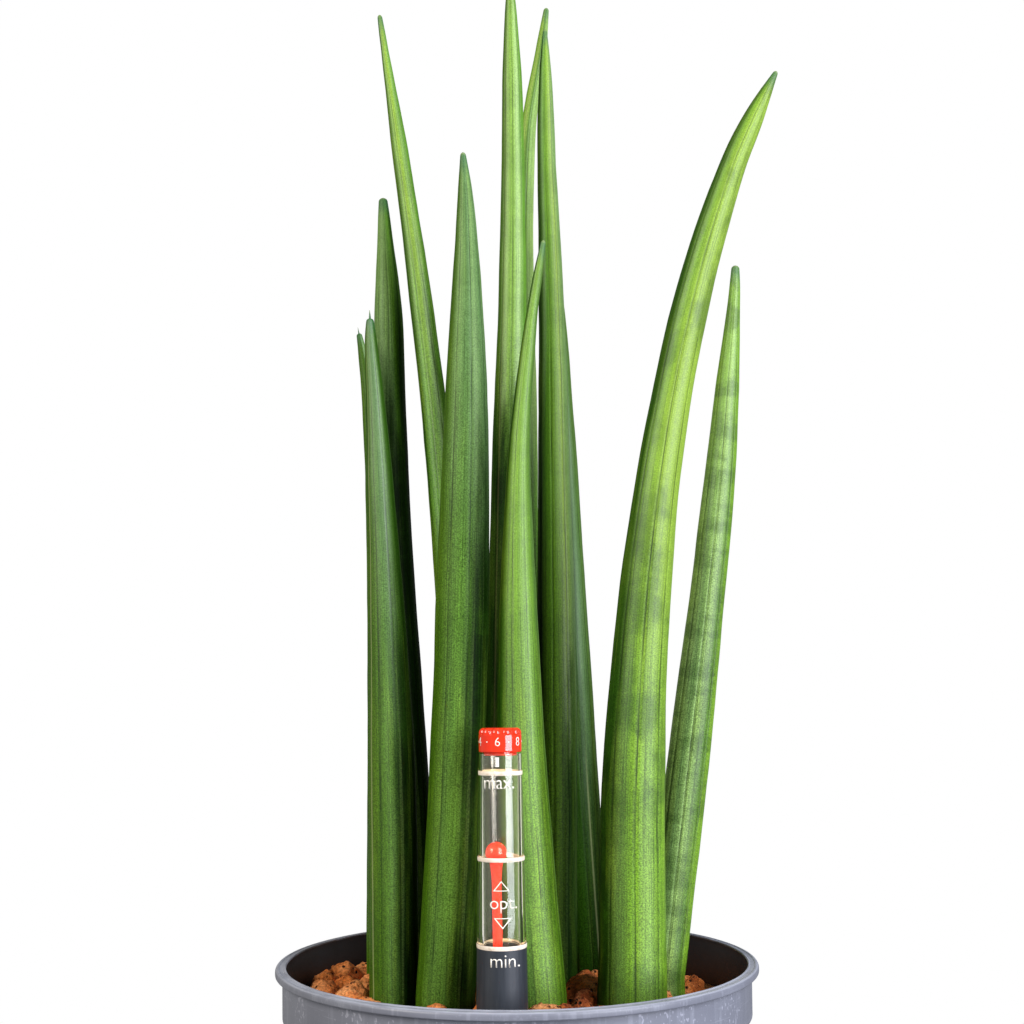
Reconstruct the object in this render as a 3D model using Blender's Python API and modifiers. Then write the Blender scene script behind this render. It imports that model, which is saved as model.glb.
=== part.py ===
"""Cylindrical snake plant in a hydroculture pot, at its real size.

A grey culture pot holds a bed of expanded clay pebbles. Twelve round, ribbed leaves stand
in the bed, and a water level gauge stands at the front. Sizes are in millimetres, and MM
turns them into metres. +Z is up, +X is to the right seen from the front, +Y goes away from
the front, and the origin is the centre of the pot's flat underside.
"""

import math
import random
from typing import NamedTuple

import bmesh
import bpy
from mathutils import Euler, Vector

MM = 0.001
GAP = 0.35
MERGE_DISTANCE = 0.00001
PART_NAME = "cylindrical_snake_plant"

# Culture pot
POT_HEIGHT = 190.0
RIM_RADIUS = 75.0
RIM_WIDTH = 3.3
RIM_DEPTH = 3.4
RIM_ROUND = 0.5
RIM_ARC_STEPS = 4
WALL = 1.2
COLLAR_RADIUS = 72.8
COLLAR_DEPTH = 16.0
COLLAR_STEP = 1.2
COLLAR_DRAFT = 0.2
BASE_RADIUS = 61.0
BASE_EDGE = 1.6
FLOOR = 2.0
POT_STEPS = 40
SLOT_COUNT = 12
SLOT_WIDTH = 2.6
SLOT_BOTTOM = 8.0
SLOT_TOP = 42.0
SLOT_REACH = 8.0

# Bed of expanded clay
BED_TOP = 178.5
BED_CROWN = 1.5
BED_STEPS = 40
PEBBLE_SMALLEST = 5.4
PEBBLE_LARGEST = 8.2
PEBBLE_TRIES = 2600
PEBBLE_SPACING = 0.93
PEBBLE_LUMP = 0.08
PEBBLE_STRETCH = 0.88
PEBBLE_FLATTEN = 0.8
PEBBLE_TIP = 0.3
PEBBLE_RISE = 1.6
PEBBLE_SEED = 15
FOOT_CLEARANCE = 1.3

# Water level gauge, a clear tube on a dark one with a float inside
GAUGE_X = -4.2
GAUGE_Y = -52.0
GAUGE_STEPS = 24
HOUSING_TOP = 203.3
HOUSING_TOP_RADIUS = 6.95
HOUSING_RADIUS = 7.2
HOUSING_TAPER_HEIGHT = 186.0
HOUSING_BORE = 5.8
HOUSING_FLOOR = 1.8
HOUSING_CHAMFER = 0.8
SOCKET_DEPTH = 7.0
SOCKET_RADIUS = 6.3
WATER_SLOT_COUNT = 4
WATER_SLOT_WIDTH = 2.0
WATER_SLOT_HEIGHT = 24.0
WATER_SLOT_REACH = 2.0
HOLE_RISE = 12.0
WINDOW_TOP = 256.3
WINDOW_TOP_RADIUS = 6.1
WINDOW_WALL = 0.9
WINDOW_FOOT = 2.0
DIAL_TOP = 263.5
DIAL_RADIUS = 6.1
DIAL_BEVEL = 0.9
DIAL_PLUG_RADIUS = 4.7
DIAL_PLUG_DEPTH = 2.0
DIAL_PLUG_CHAMFER = 0.4
BALL_HEIGHT = 228.7
BALL_RADIUS = 2.85
BALL_NECK = 5.6
BALL_NECK_ANGLE = -35.0
BALL_ARC_STEPS = 7
ROD_RADIUS = 1.3
ROD_LEAN = 1.4
ROD_STEPS = 14
FLOAT_TOP = 104.0
FLOAT_LENGTH = 66.0
FLOAT_RADIUS = 5.3
FLOAT_ROUND = 2.0
FLOAT_STEPS = 20
ROD_SEAT_DEPTH = 14.0

# Leaves
FOOT_DEPTH = 20.0
BED_LINE = 185.0
LEAN_POWER = 1.6
LEAF_RINGS = 9
RING_CROWDING = 1.35
RIBS = 8
GROOVE_HALF_ANGLE = math.radians(8.0)
GROOVE_SHARE = 0.07
GROOVE_DEEPEST = 0.5
LEAF_TIP_WIDTH = 1.4
LEAF_TIP_POINT = 1.2
HOLE_SIDES = 16


class Leaf(NamedTuple):
    """One leaf, by its outline from the front and its place in depth."""

    stations: tuple  # height, x of the middle, width; from the bed line up
    tip: tuple       # height, x of the tip
    depth: tuple     # y of the foot, y of the tip
    turn: float      # degrees that the ribs are turned by


LEAVES = {
    "leaf_left_edge": Leaf(
        ((185, -42.0, 11.5), (271, -43.2, 9.6), (335, -45.4, 7.4), (369, -47.8, 5.6), (388, -50.6, 3.4)),
        (398.5, -52.6), (4, 12), 10),
    "leaf_left_front": Leaf(
        ((185, -36.8, 14.6), (237, -37.3, 14.6), (289, -38.7, 12.1), (330, -40.5, 8.8), (361, -42.1, 5.9),
         (382, -43.6, 3.8)),
        (392, -44.0), (-22, -31), 22),
    "leaf_left_back": Leaf(
        ((185, -32.0, 14.0), (251, -35.9, 13.9), (318, -40.7, 13.2), (371, -42.4, 11.7), (410, -43.3, 9.5),
         (437, -44.7, 5.0)),
        (450, -45.5), (15, 27), 5),
    "leaf_left_tall": Leaf(
        ((185, -16.5, 12.5), (267, -17.9, 12.1), (348, -24.0, 9.4), (414, -31.6, 7.5), (463, -38.3, 5.3),
         (495, -43.0, 2.9)),
        (512, -45.5), (5, 12), 30),
    "leaf_mid_left": Leaf(
        ((185, -20.9, 17.6), (249, -17.3, 16.4), (312, -15.1, 15.7), (363, -13.8, 13.1), (401, -13.4, 8.2),
         (426, -13.7, 4.6)),
        (439, -14.3), (-30, -41), 16),
    "leaf_tallest": Leaf(
        ((185, -2.6, 15.3), (268, -1.9, 14.4), (352, -0.5, 11.8), (419, 0.9, 8.7), (469, 1.3, 7.2),
         (502, 1.0, 4.2)),
        (519, 0.7), (-3, -9), 0),
    "leaf_mid_back": Leaf(
        ((185, 1.7, 10.5), (270, 2.6, 10.3), (355, 4.3, 9.5), (423, 4.6, 7.6), (474, 6.8, 5.8),
         (508, 12.1, 3.9)),
        (525, 14.4), (20, 33), 12),
    "leaf_mid_right": Leaf(
        ((185, 12.7, 13.1), (265, 13.8, 13.1), (346, 14.1, 10.9), (410, 13.9, 8.4), (458, 13.0, 6.2),
         (490, 13.0, 4.3)),
        (506, 13.1), (8, 12), 35),
    "leaf_right_back": Leaf(
        ((185, 24.3, 14.0), (244, 21.2, 14.5), (304, 19.4, 12.6), (351, 18.4, 10.2), (387, 18.0, 7.1),
         (411, 18.1, 3.8)),
        (422, 17.9), (28, 44), 8),
    "leaf_mid_front": Leaf(
        ((185, 5.1, 18.6), (242, 2.2, 15.8), (298, 1.4, 11.4), (348, 2.3, 6.6), (385, 6.0, 3.9),
         (403, 8.8, 2.6)),
        (412, 10.4), (-30, -37), 26),
    "leaf_right_front": Leaf(
        ((185, 34.0, 20.6), (247, 35.7, 18.9), (304, 40.3, 15.9), (355, 47.9, 12.7), (398, 57.7, 11.0),
         (435, 69.5, 8.7), (454, 77.9, 6.2)),
        (468.5, 85.3), (-25, -33), 18),
    "leaf_right_edge": Leaf(
        ((185, 46.4, 13.1), (243, 54.7, 13.6), (301, 63.3, 11.6), (348, 69.7, 9.8), (383, 73.8, 7.0),
         (406, 76.4, 4.0)),
        (418, 77.3), (2, 9), 40),
}

# The pebbles that show over the rim from the front: x, y, radius
FRONT_PEBBLES = (
    (-49.5, -17.0, 7.4), (-60.0, -4.0, 6.2), (-54.0, 7.0, 6.0), (-61.5, 11.0, 5.2), (-58.0, -19.5, 5.4),
    (21.5, -8.0, 8.0), (20.5, -21.5, 5.0), (22.0, -42.0, 5.0), (34.5, -44.0, 4.6), (55.0, -11.0, 5.6),
    (63.5, -1.5, 5.4), (-14.0, -47.0, 4.6),
)


def linear(hex_colour):
    """Turn an sRGB hex colour into the linear RGBA values that a shader takes."""
    channels = [int(hex_colour[i:i + 2], 16) / 255 for i in (1, 3, 5)]
    return [c / 12.92 if c <= 0.04045 else ((c + 0.055) / 1.055) ** 2.4 for c in channels] + [1.0]


def finish(obj, hex_colour, roughness, transmission=0.0):
    """Give an object its own Principled material."""
    material = bpy.data.materials.new(obj.name + "_finish")
    material.use_nodes = True
    shader = material.node_tree.nodes["Principled BSDF"]
    shader.inputs["Base Color"].default_value = linear(hex_colour)
    shader.inputs["Roughness"].default_value = roughness
    shader.inputs["Metallic"].default_value = 0.0
    shader.inputs["Transmission Weight"].default_value = transmission
    obj.data.materials.clear()
    obj.data.materials.append(material)


def add_object(name, mesh, collection):
    """Put a mesh in the scene as a named object."""
    obj = bpy.data.objects.new(name, mesh)
    collection.objects.link(obj)
    return obj


def turned(name, profile, steps, collection, at=(0.0, 0.0), closed=False):
    """Turn a profile of (radius, height) points, top to bottom on its outer side."""
    mesh = bpy.data.meshes.new(name)
    points = [(radius * MM, 0.0, height * MM) for radius, height in profile]
    edges = [(i, i + 1) for i in range(len(points) - 1)]
    if closed:
        edges.append((len(points) - 1, 0))
    mesh.from_pydata(points, edges, [])
    obj = add_object(name, mesh, collection)
    obj.location = (at[0] * MM, at[1] * MM, 0.0)
    screw = obj.modifiers.new("turn", "SCREW")
    screw.steps = steps
    screw.render_steps = steps
    screw.use_merge_vertices = True
    screw.merge_threshold = MERGE_DISTANCE
    screw.use_smooth_shade = True
    return obj


def arc(centre, radius, start, end, count):
    """Points on an arc of a profile, from one angle to another in degrees."""
    angles = [math.radians(start + (end - start) * i / count) for i in range(count + 1)]
    return [(centre[0] + radius * math.cos(a), centre[1] + radius * math.sin(a)) for a in angles]


def add_cutter(name, mesh, collection):
    """Put a mesh in a cutter collection, shown as wire and never rendered."""
    cutter = add_object(name, mesh, collection)
    cutter.hide_render = True
    cutter.display_type = "WIRE"
    return cutter


def box_mesh(name, low, high):
    """A box between two corners."""
    mesh = bpy.data.meshes.new(name)
    box = bmesh.new()
    bmesh.ops.create_cube(box, size=1.0)
    for vert in box.verts:
        vert.co = [(low[i] + (high[i] - low[i]) * (vert.co[i] + 0.5)) * MM for i in range(3)]
    box.to_mesh(mesh)
    box.free()
    return mesh


def cut_all(obj, cutters):
    """Cut every object of a collection out of an object."""
    cut = obj.modifiers.new("cut", "BOOLEAN")
    cut.operation = "DIFFERENCE"
    cut.operand_type = "COLLECTION"
    cut.collection = cutters
    cut.solver = "EXACT"


def ring_of_slots(name, count, low, high, at, collection):
    """Radial slots round a vertical axis: a box on +X between two corners, repeated."""
    for index in range(count):
        slot = add_cutter(f"{name}_{index + 1}", box_mesh(name, low, high), collection)
        slot.location = (at[0] * MM, at[1] * MM, 0.0)
        slot.rotation_euler = (0.0, 0.0, math.tau * (index + 0.5) / count)


def wall_radius(height):
    """Outer radius of the pot's wall below its collar."""
    shoulder = POT_HEIGHT - COLLAR_DEPTH
    return BASE_RADIUS + (COLLAR_RADIUS - COLLAR_STEP - BASE_RADIUS) * height / shoulder


def pot_profile():
    """The pot from the middle of its inner floor, over the rim, to the middle of its underside."""
    shoulder = POT_HEIGHT - COLLAR_DEPTH
    lip = POT_HEIGHT - RIM_DEPTH
    crest = RIM_WIDTH / 2
    inside = [
        (0.0, FLOOR),
        (wall_radius(FLOOR) - WALL - BASE_EDGE, FLOOR),
        (wall_radius(FLOOR + BASE_EDGE) - WALL, FLOOR + BASE_EDGE),
        (wall_radius(shoulder) - WALL, shoulder - WALL),
        (COLLAR_RADIUS - WALL, shoulder + WALL),
        (RIM_RADIUS - RIM_WIDTH, lip),
    ]
    rim = arc((RIM_RADIUS - crest, POT_HEIGHT - crest), crest, 180, 0, RIM_ARC_STEPS)
    outside = [
        (RIM_RADIUS, lip + RIM_ROUND),
        (RIM_RADIUS - RIM_ROUND, lip),
        (COLLAR_RADIUS, lip),
        (COLLAR_RADIUS - COLLAR_DRAFT, shoulder + COLLAR_STEP),
        (wall_radius(shoulder), shoulder),
        (wall_radius(BASE_EDGE), BASE_EDGE),
        (wall_radius(0) - BASE_EDGE, 0.0),
        (0.0, 0.0),
    ]
    return inside + rim + outside


def make_pot(parts, cutters):
    """The culture pot, with water slots round the foot of its wall."""
    pot = turned("pot", pot_profile(), POT_STEPS, parts)
    low = (BASE_RADIUS - SLOT_REACH, -SLOT_WIDTH / 2, SLOT_BOTTOM)
    high = (BASE_RADIUS + SLOT_REACH, SLOT_WIDTH / 2, SLOT_TOP)
    ring_of_slots("pot_slot", SLOT_COUNT, low, high, (0.0, 0.0), cutters)
    cut_all(pot, cutters)
    finish(pot, "#6F6F78", 0.55)


def smooth(points, at):
    """Read a smooth curve through (position, value) points."""
    places = [p[0] for p in points]
    index = min(max(sum(place <= at for place in places) - 1, 0), len(points) - 2)
    (p0, v0), (p1, v1) = points[index], points[index + 1]
    before = points[max(index - 1, 0)]
    after = points[min(index + 2, len(points) - 1)]
    slope0 = (v1 - before[1]) / (p1 - before[0])
    slope1 = (after[1] - v0) / (after[0] - p0)
    span = p1 - p0
    t = (at - p0) / span
    return ((1 + 2 * t) * (1 - t) ** 2 * v0 + t * (1 - t) ** 2 * span * slope0
            + t * t * (3 - 2 * t) * v1 + t * t * (t - 1) * span * slope1)


def leaf_middle(leaf, height):
    """The point on a leaf's middle line at a height; it goes straight down below the bed line."""
    level = max(height, BED_LINE)
    line = [(z, x) for z, x, _ in leaf.stations] + [leaf.tip]
    rise = (level - BED_LINE) / (leaf.tip[0] - BED_LINE)
    depth = leaf.depth[0] + (leaf.depth[1] - leaf.depth[0]) * rise ** LEAN_POWER
    return Vector((smooth(line, level), depth, height))


def leaf_width(leaf, height):
    """A leaf's thickness at a height."""
    widths = [(z, width) for z, _, width in leaf.stations] + [(leaf.tip[0], LEAF_TIP_WIDTH)]
    return smooth(widths, max(height, BED_LINE))


def leaf_direction(leaf, height):
    """The way a leaf points at a height."""
    step = 1.0
    if height < BED_LINE:
        return Vector((0.0, 0.0, 1.0))
    low = max(height - step, BED_LINE)
    high = min(height + step, leaf.tip[0])
    return (leaf_middle(leaf, high) - leaf_middle(leaf, low)).normalized()


def ribbed_section(leaf, width):
    """Angle and radius of each point round a leaf: rounded ribs with a narrow groove between."""
    radius = width / 2
    groove = radius - min(GROOVE_SHARE * width, GROOVE_DEEPEST)
    points = []
    for rib in range(RIBS):
        middle = math.radians(leaf.turn) + math.tau * rib / RIBS
        points.append((middle - GROOVE_HALF_ANGLE, radius))
        points.append((middle, groove))
        points.append((middle + GROOVE_HALF_ANGLE, radius))
    return points


def round_section(width):
    """Angle and radius of the points of a plain round hole that clears a given width."""
    radius = (width / 2 + GAP) / math.cos(math.pi / HOLE_SIDES)
    return [(math.tau * side / HOLE_SIDES, radius) for side in range(HOLE_SIDES)]


def loft(name, rings, point=None):
    """Skin rings of points, listed upwards, with flat ends or a point above the last ring."""
    skin = bmesh.new()
    loops = [[skin.verts.new(co * MM) for co in ring] for ring in rings]
    sides = len(loops[0])
    skin.faces.new(loops[0][::-1])
    for low, high in zip(loops, loops[1:]):
        for i in range(sides):
            j = (i + 1) % sides
            skin.faces.new((low[i], low[j], high[j], high[i]))
    if point is None:
        skin.faces.new(loops[-1])
    else:
        apex = skin.verts.new(point * MM)
        for i in range(sides):
            skin.faces.new((loops[-1][i], loops[-1][(i + 1) % sides], apex))
    mesh = bpy.data.meshes.new(name)
    skin.to_mesh(mesh)
    skin.free()
    return mesh


def ring_at(leaf, height, section):
    """A ring of a leaf's section, square to the leaf's middle line."""
    turn = Vector((0.0, 0.0, 1.0)).rotation_difference(leaf_direction(leaf, height))
    middle = leaf_middle(leaf, height)
    return [middle + turn @ Vector((r * math.cos(a), r * math.sin(a), 0.0)) for a, r in section]


def leaf_heights(leaf):
    """Heights of a leaf's rings, closer together towards the tip."""
    rise = leaf.tip[0] - BED_LINE
    steps = [1 - (1 - i / LEAF_RINGS) ** RING_CROWDING for i in range(LEAF_RINGS + 1)]
    return [BED_LINE - FOOT_DEPTH] + [BED_LINE + rise * step for step in steps]


def make_leaf(name, leaf, parts):
    """One round, ribbed leaf, from its foot in the bed to its hard tip."""
    rings = [ring_at(leaf, z, ribbed_section(leaf, leaf_width(leaf, z))) for z in leaf_heights(leaf)]
    tip_height = leaf.tip[0]
    point = leaf_middle(leaf, tip_height) + leaf_direction(leaf, tip_height) * LEAF_TIP_POINT
    obj = add_object(name, loft(name, rings, point), parts)
    obj.data.shade_smooth()
    finish(obj, "#4F7A3A", 0.42)


def make_leaf_hole(name, leaf, cutters):
    """A plain round hole that a leaf's foot stands in."""
    bottom = BED_LINE - FOOT_DEPTH - GAP
    above = BED_LINE + HOLE_RISE
    rings = []
    for height in (bottom, BED_LINE, above):
        width = max(leaf_width(leaf, height), leaf_width(leaf, BED_LINE))
        rings.append(ring_at(leaf, height, round_section(width)))
    add_cutter(name + "_hole", loft(name + "_hole", rings), cutters)


def bed_height(radius):
    """Height of the bed's surface under the pebbles, a little crowned in the middle."""
    return BED_TOP + BED_CROWN * (1 - (radius / COLLAR_RADIUS) ** 2)


def bed_profile():
    """The packed bed, a gap inside the pot's wall and floor."""
    shoulder = POT_HEIGHT - COLLAR_DEPTH
    edge = COLLAR_RADIUS - WALL - 2 * GAP
    wall = wall_radius(shoulder) - WALL - 2 * GAP
    foot = wall_radius(FLOOR + BASE_EDGE) - WALL - 2 * GAP
    return [
        (0.0, bed_height(0.0)),
        (edge * 0.6, bed_height(edge * 0.6)),
        (edge, bed_height(edge)),
        (edge, shoulder + WALL + GAP),
        (wall, shoulder - WALL),
        (foot, FLOOR + BASE_EDGE + GAP),
        (foot - BASE_EDGE, FLOOR + GAP),
        (0.0, FLOOR + GAP),
    ]


def taken_circles():
    """Circles in the bed's surface that no pebble's middle may lie in: x, y, radius."""
    circles = [(GAUGE_X, GAUGE_Y, HOUSING_RADIUS + FOOT_CLEARANCE)]
    for leaf in LEAVES.values():
        _, x, width = leaf.stations[0]
        circles.append((x, leaf.depth[0], width / 2 + FOOT_CLEARANCE))
    return circles


def pebble_places(rng):
    """Where each pebble lies: those chosen by hand, then others wherever there is room."""
    places = list(FRONT_PEBBLES)
    taken = taken_circles()
    reach = COLLAR_RADIUS - WALL - 3 * GAP
    for _ in range(PEBBLE_TRIES):
        size = rng.uniform(PEBBLE_SMALLEST, PEBBLE_LARGEST)
        distance = (reach - size) * math.sqrt(rng.random())
        angle = rng.uniform(0.0, math.tau)
        x, y = distance * math.cos(angle), distance * math.sin(angle)
        clear_of_feet = all(math.hypot(x - cx, y - cy) > radius for cx, cy, radius in taken)
        clear_of_pebbles = all(
            math.hypot(x - px, y - py) > PEBBLE_SPACING * (size + other) for px, py, other in places)
        if clear_of_feet and clear_of_pebbles:
            places.append((x, y, size))
    return places


def make_pebble(index, place, rng, collection):
    """One lumpy pebble, half sunk in the bed."""
    x, y, size = place
    stone = bmesh.new()
    bmesh.ops.create_icosphere(stone, subdivisions=2, radius=size * MM)
    lows = (PEBBLE_STRETCH, PEBBLE_STRETCH, PEBBLE_FLATTEN)
    stretch = Vector([rng.uniform(low, 1.0) for low in lows])
    tips = [rng.uniform(-PEBBLE_TIP, PEBBLE_TIP) for _ in range(2)]
    turn = Euler(tips + [rng.uniform(0.0, math.tau)])
    for vert in stone.verts:
        lump = 1 - rng.uniform(0.0, PEBBLE_LUMP)
        vert.co = vert.co * stretch * lump
        vert.co.rotate(turn)
    mesh = bpy.data.meshes.new("pebble")
    stone.to_mesh(mesh)
    stone.free()
    pebble = add_object(f"pebble_{index}", mesh, collection)
    sunk = bed_height(math.hypot(x, y)) + rng.uniform(0.0, PEBBLE_RISE)
    pebble.location = (x * MM, y * MM, sunk * MM)


def apply_modifiers(obj):
    """Turn an object's evaluated mesh into its own mesh."""
    evaluated = obj.evaluated_get(bpy.context.evaluated_depsgraph_get())
    mesh = bpy.data.meshes.new_from_object(evaluated)
    obj.modifiers.clear()
    obj.data = mesh


def make_bed(parts, cutters):
    """The bed of clay pebbles, one body, with plain holes for the leaves and the gauge."""
    rng = random.Random(PEBBLE_SEED)
    bed = turned("clay_pebbles", bed_profile(), BED_STEPS, parts)
    pebbles = bpy.data.collections.new("loose pebbles")
    bpy.context.scene.collection.children.link(pebbles)
    for index, place in enumerate(pebble_places(rng)):
        make_pebble(index, place, rng, pebbles)
    join = bed.modifiers.new("join", "BOOLEAN")
    join.operation = "UNION"
    join.operand_type = "COLLECTION"
    join.collection = pebbles
    join.solver = "EXACT"
    apply_modifiers(bed)
    for pebble in list(pebbles.objects):
        bpy.data.objects.remove(pebble)
    bpy.data.collections.remove(pebbles)

    for name, leaf in LEAVES.items():
        make_leaf_hole(name, leaf, cutters)
    hole = turned("gauge_hole", gauge_hole_profile(), GAUGE_STEPS, cutters, (GAUGE_X, GAUGE_Y))
    hole.hide_render = True
    hole.display_type = "WIRE"
    cut_all(bed, cutters)
    finish(bed, "#B0683C", 0.95)


def gauge_hole_profile():
    """A plain hole right through the bed for the gauge."""
    radius = (HOUSING_RADIUS + GAP) / math.cos(math.pi / GAUGE_STEPS)
    above = BED_LINE + HOLE_RISE
    return [(0.0, above), (radius, above), (radius, 0.0), (0.0, 0.0)]


def window_radius(height):
    """Outer radius of the gauge's clear tube, which narrows upwards."""
    share = (height - HOUSING_TOP) / (WINDOW_TOP - HOUSING_TOP)
    return HOUSING_TOP_RADIUS + (WINDOW_TOP_RADIUS - HOUSING_TOP_RADIUS) * share


def make_housing(parts, cutters):
    """The gauge's dark lower tube, open at the top, with water slots at its foot."""
    bottom = FLOOR + GAP
    profile = [
        (0.0, bottom + HOUSING_FLOOR),
        (HOUSING_BORE, bottom + HOUSING_FLOOR),
        (HOUSING_BORE, HOUSING_TOP - SOCKET_DEPTH),
        (SOCKET_RADIUS, HOUSING_TOP - SOCKET_DEPTH),
        (SOCKET_RADIUS, HOUSING_TOP),
        (HOUSING_TOP_RADIUS, HOUSING_TOP),
        (HOUSING_RADIUS, HOUSING_TAPER_HEIGHT),
        (HOUSING_RADIUS, bottom + HOUSING_CHAMFER),
        (HOUSING_RADIUS - HOUSING_CHAMFER, bottom),
        (0.0, bottom),
    ]
    housing = turned("gauge_housing", profile, GAUGE_STEPS, parts, (GAUGE_X, GAUGE_Y))
    foot = bottom + HOUSING_FLOOR + HOUSING_CHAMFER
    low = (HOUSING_BORE - WATER_SLOT_REACH, -WATER_SLOT_WIDTH / 2, foot)
    high = (HOUSING_RADIUS + WATER_SLOT_REACH, WATER_SLOT_WIDTH / 2, foot + WATER_SLOT_HEIGHT)
    ring_of_slots("water_slot", WATER_SLOT_COUNT, low, high, (GAUGE_X, GAUGE_Y), cutters)
    cut_all(housing, cutters)
    finish(housing, "#3E444E", 0.4)


def make_window(parts):
    """The gauge's clear tube, with a spigot that stands in the housing's socket."""
    foot = HOUSING_TOP + GAP
    spigot_end = HOUSING_TOP - SOCKET_DEPTH + GAP
    spigot = SOCKET_RADIUS - GAP
    profile = [
        (WINDOW_TOP_RADIUS, WINDOW_TOP),
        (window_radius(foot), foot),
        (spigot, foot),
        (spigot, spigot_end),
        (spigot - WINDOW_WALL, spigot_end),
        (spigot - WINDOW_WALL, foot + WINDOW_FOOT),
        (WINDOW_TOP_RADIUS - WINDOW_WALL, WINDOW_TOP),
    ]
    window = turned("gauge_window", profile, GAUGE_STEPS, parts, (GAUGE_X, GAUGE_Y), closed=True)
    finish(window, "#E6E8E0", 0.05, 1.0)


def make_dial(parts):
    """The red dial that turns on top of the clear tube, held by its plug."""
    foot = WINDOW_TOP + GAP
    profile = [
        (0.0, DIAL_TOP),
        (DIAL_RADIUS - DIAL_BEVEL * 1.6, DIAL_TOP),
        (DIAL_RADIUS - DIAL_BEVEL * 0.5, DIAL_TOP - DIAL_BEVEL * 0.5),
        (DIAL_RADIUS, DIAL_TOP - DIAL_BEVEL * 1.4),
        (DIAL_RADIUS, foot),
        (DIAL_PLUG_RADIUS, foot),
        (DIAL_PLUG_RADIUS, foot - DIAL_PLUG_DEPTH + DIAL_PLUG_CHAMFER),
        (DIAL_PLUG_RADIUS - DIAL_PLUG_CHAMFER, foot - DIAL_PLUG_DEPTH),
        (0.0, foot - DIAL_PLUG_DEPTH),
    ]
    dial = turned("dial_cap", profile, GAUGE_STEPS, parts, (GAUGE_X, GAUGE_Y))
    finish(dial, "#E0301E", 0.35)


def make_float(parts):
    """The float deep in the housing, and the red rod on it whose ball shows the water level."""
    seat = FLOAT_TOP - ROD_SEAT_DEPTH
    bottom = FLOAT_TOP - FLOAT_LENGTH
    body = [
        (0.0, seat), (ROD_RADIUS + GAP, seat), (ROD_RADIUS + GAP, FLOAT_TOP),
        (FLOAT_RADIUS - FLOAT_ROUND, FLOAT_TOP), (FLOAT_RADIUS, FLOAT_TOP - FLOAT_ROUND),
        (FLOAT_RADIUS, bottom + FLOAT_ROUND), (FLOAT_RADIUS - FLOAT_ROUND, bottom), (0.0, bottom),
    ]
    float_body = turned("float_body", body, FLOAT_STEPS, parts, (GAUGE_X, GAUGE_Y))
    finish(float_body, "#D8D8D2", 0.8)

    ball = arc((0.0, BALL_HEIGHT), BALL_RADIUS, 90, BALL_NECK_ANGLE, BALL_ARC_STEPS)
    rod = [(0.0, BALL_HEIGHT + BALL_RADIUS)] + ball[1:]
    rod += [(ROD_RADIUS, BALL_HEIGHT - BALL_NECK), (ROD_RADIUS, seat + GAP), (0.0, seat + GAP)]
    rod_from_float = [(radius, height - FLOAT_TOP) for radius, height in rod]
    indicator = turned("float_rod", rod_from_float, ROD_STEPS, parts, (GAUGE_X, GAUGE_Y))
    indicator.location.z = FLOAT_TOP * MM
    indicator.rotation_euler.y = -math.atan(ROD_LEAN / (BALL_HEIGHT - FLOAT_TOP))
    finish(indicator, "#E0301E", 0.3)


def new_collection(name):
    """Add a collection to the scene."""
    collection = bpy.data.collections.new(name)
    bpy.context.scene.collection.children.link(collection)
    return collection


def main():
    """Clear the scene and model every piece."""
    for obj in list(bpy.data.objects):
        bpy.data.objects.remove(obj)
    parts = new_collection(PART_NAME)
    make_pot(parts, new_collection("pot cutters"))
    make_bed(parts, new_collection("bed cutters"))
    for name, leaf in LEAVES.items():
        make_leaf(name, leaf, parts)
    make_housing(parts, new_collection("housing cutters"))
    make_window(parts)
    make_dial(parts)
    make_float(parts)


main()
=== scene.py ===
"""Cylindrical snake plant in a hydroculture pot, dressed for its render.

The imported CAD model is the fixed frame, in metres: +Z up, +X to the right and +Y away from the
front. Finer pieces stand for the CAD nodes, ride on the same bodies and carry procedural
finishes: waxy ribbed leaves, porous expanded clay, a grey culture pot, and a water level gauge
with a clear tube, a float rod and a red month dial. Sizes in the classes are in millimetres.
"""

from __future__ import annotations

import logging
import math
import random
from collections.abc import Callable, Iterator
from contextlib import contextmanager
from dataclasses import dataclass
from enum import Enum

import bpy
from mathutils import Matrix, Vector

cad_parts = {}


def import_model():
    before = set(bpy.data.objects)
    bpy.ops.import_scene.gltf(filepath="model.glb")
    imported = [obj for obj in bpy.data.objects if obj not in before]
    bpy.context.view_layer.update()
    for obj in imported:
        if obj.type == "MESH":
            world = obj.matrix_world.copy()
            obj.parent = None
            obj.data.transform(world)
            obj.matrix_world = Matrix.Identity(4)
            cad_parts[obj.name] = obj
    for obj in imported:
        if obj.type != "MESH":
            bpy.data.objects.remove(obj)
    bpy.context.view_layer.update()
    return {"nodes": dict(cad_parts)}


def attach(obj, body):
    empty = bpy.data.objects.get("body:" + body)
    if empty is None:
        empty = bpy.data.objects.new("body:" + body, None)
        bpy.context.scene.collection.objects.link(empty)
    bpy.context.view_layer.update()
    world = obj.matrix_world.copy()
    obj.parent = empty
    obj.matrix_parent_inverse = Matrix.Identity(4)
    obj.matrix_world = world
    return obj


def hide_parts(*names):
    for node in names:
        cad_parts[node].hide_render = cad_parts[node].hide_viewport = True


LOG = logging.getLogger("snake_plant")

MM = 0.001
MERGE_DISTANCE = 1e-6

# Sockets of a Mix node that are told apart by number
MIX_FACTOR, MIX_A, MIX_B, MIX_RESULT = 0, 6, 7, 2

Profile = list[tuple[float, float]]
Object = bpy.types.Object
Material = bpy.types.Material
Socket = bpy.types.NodeSocket


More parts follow.
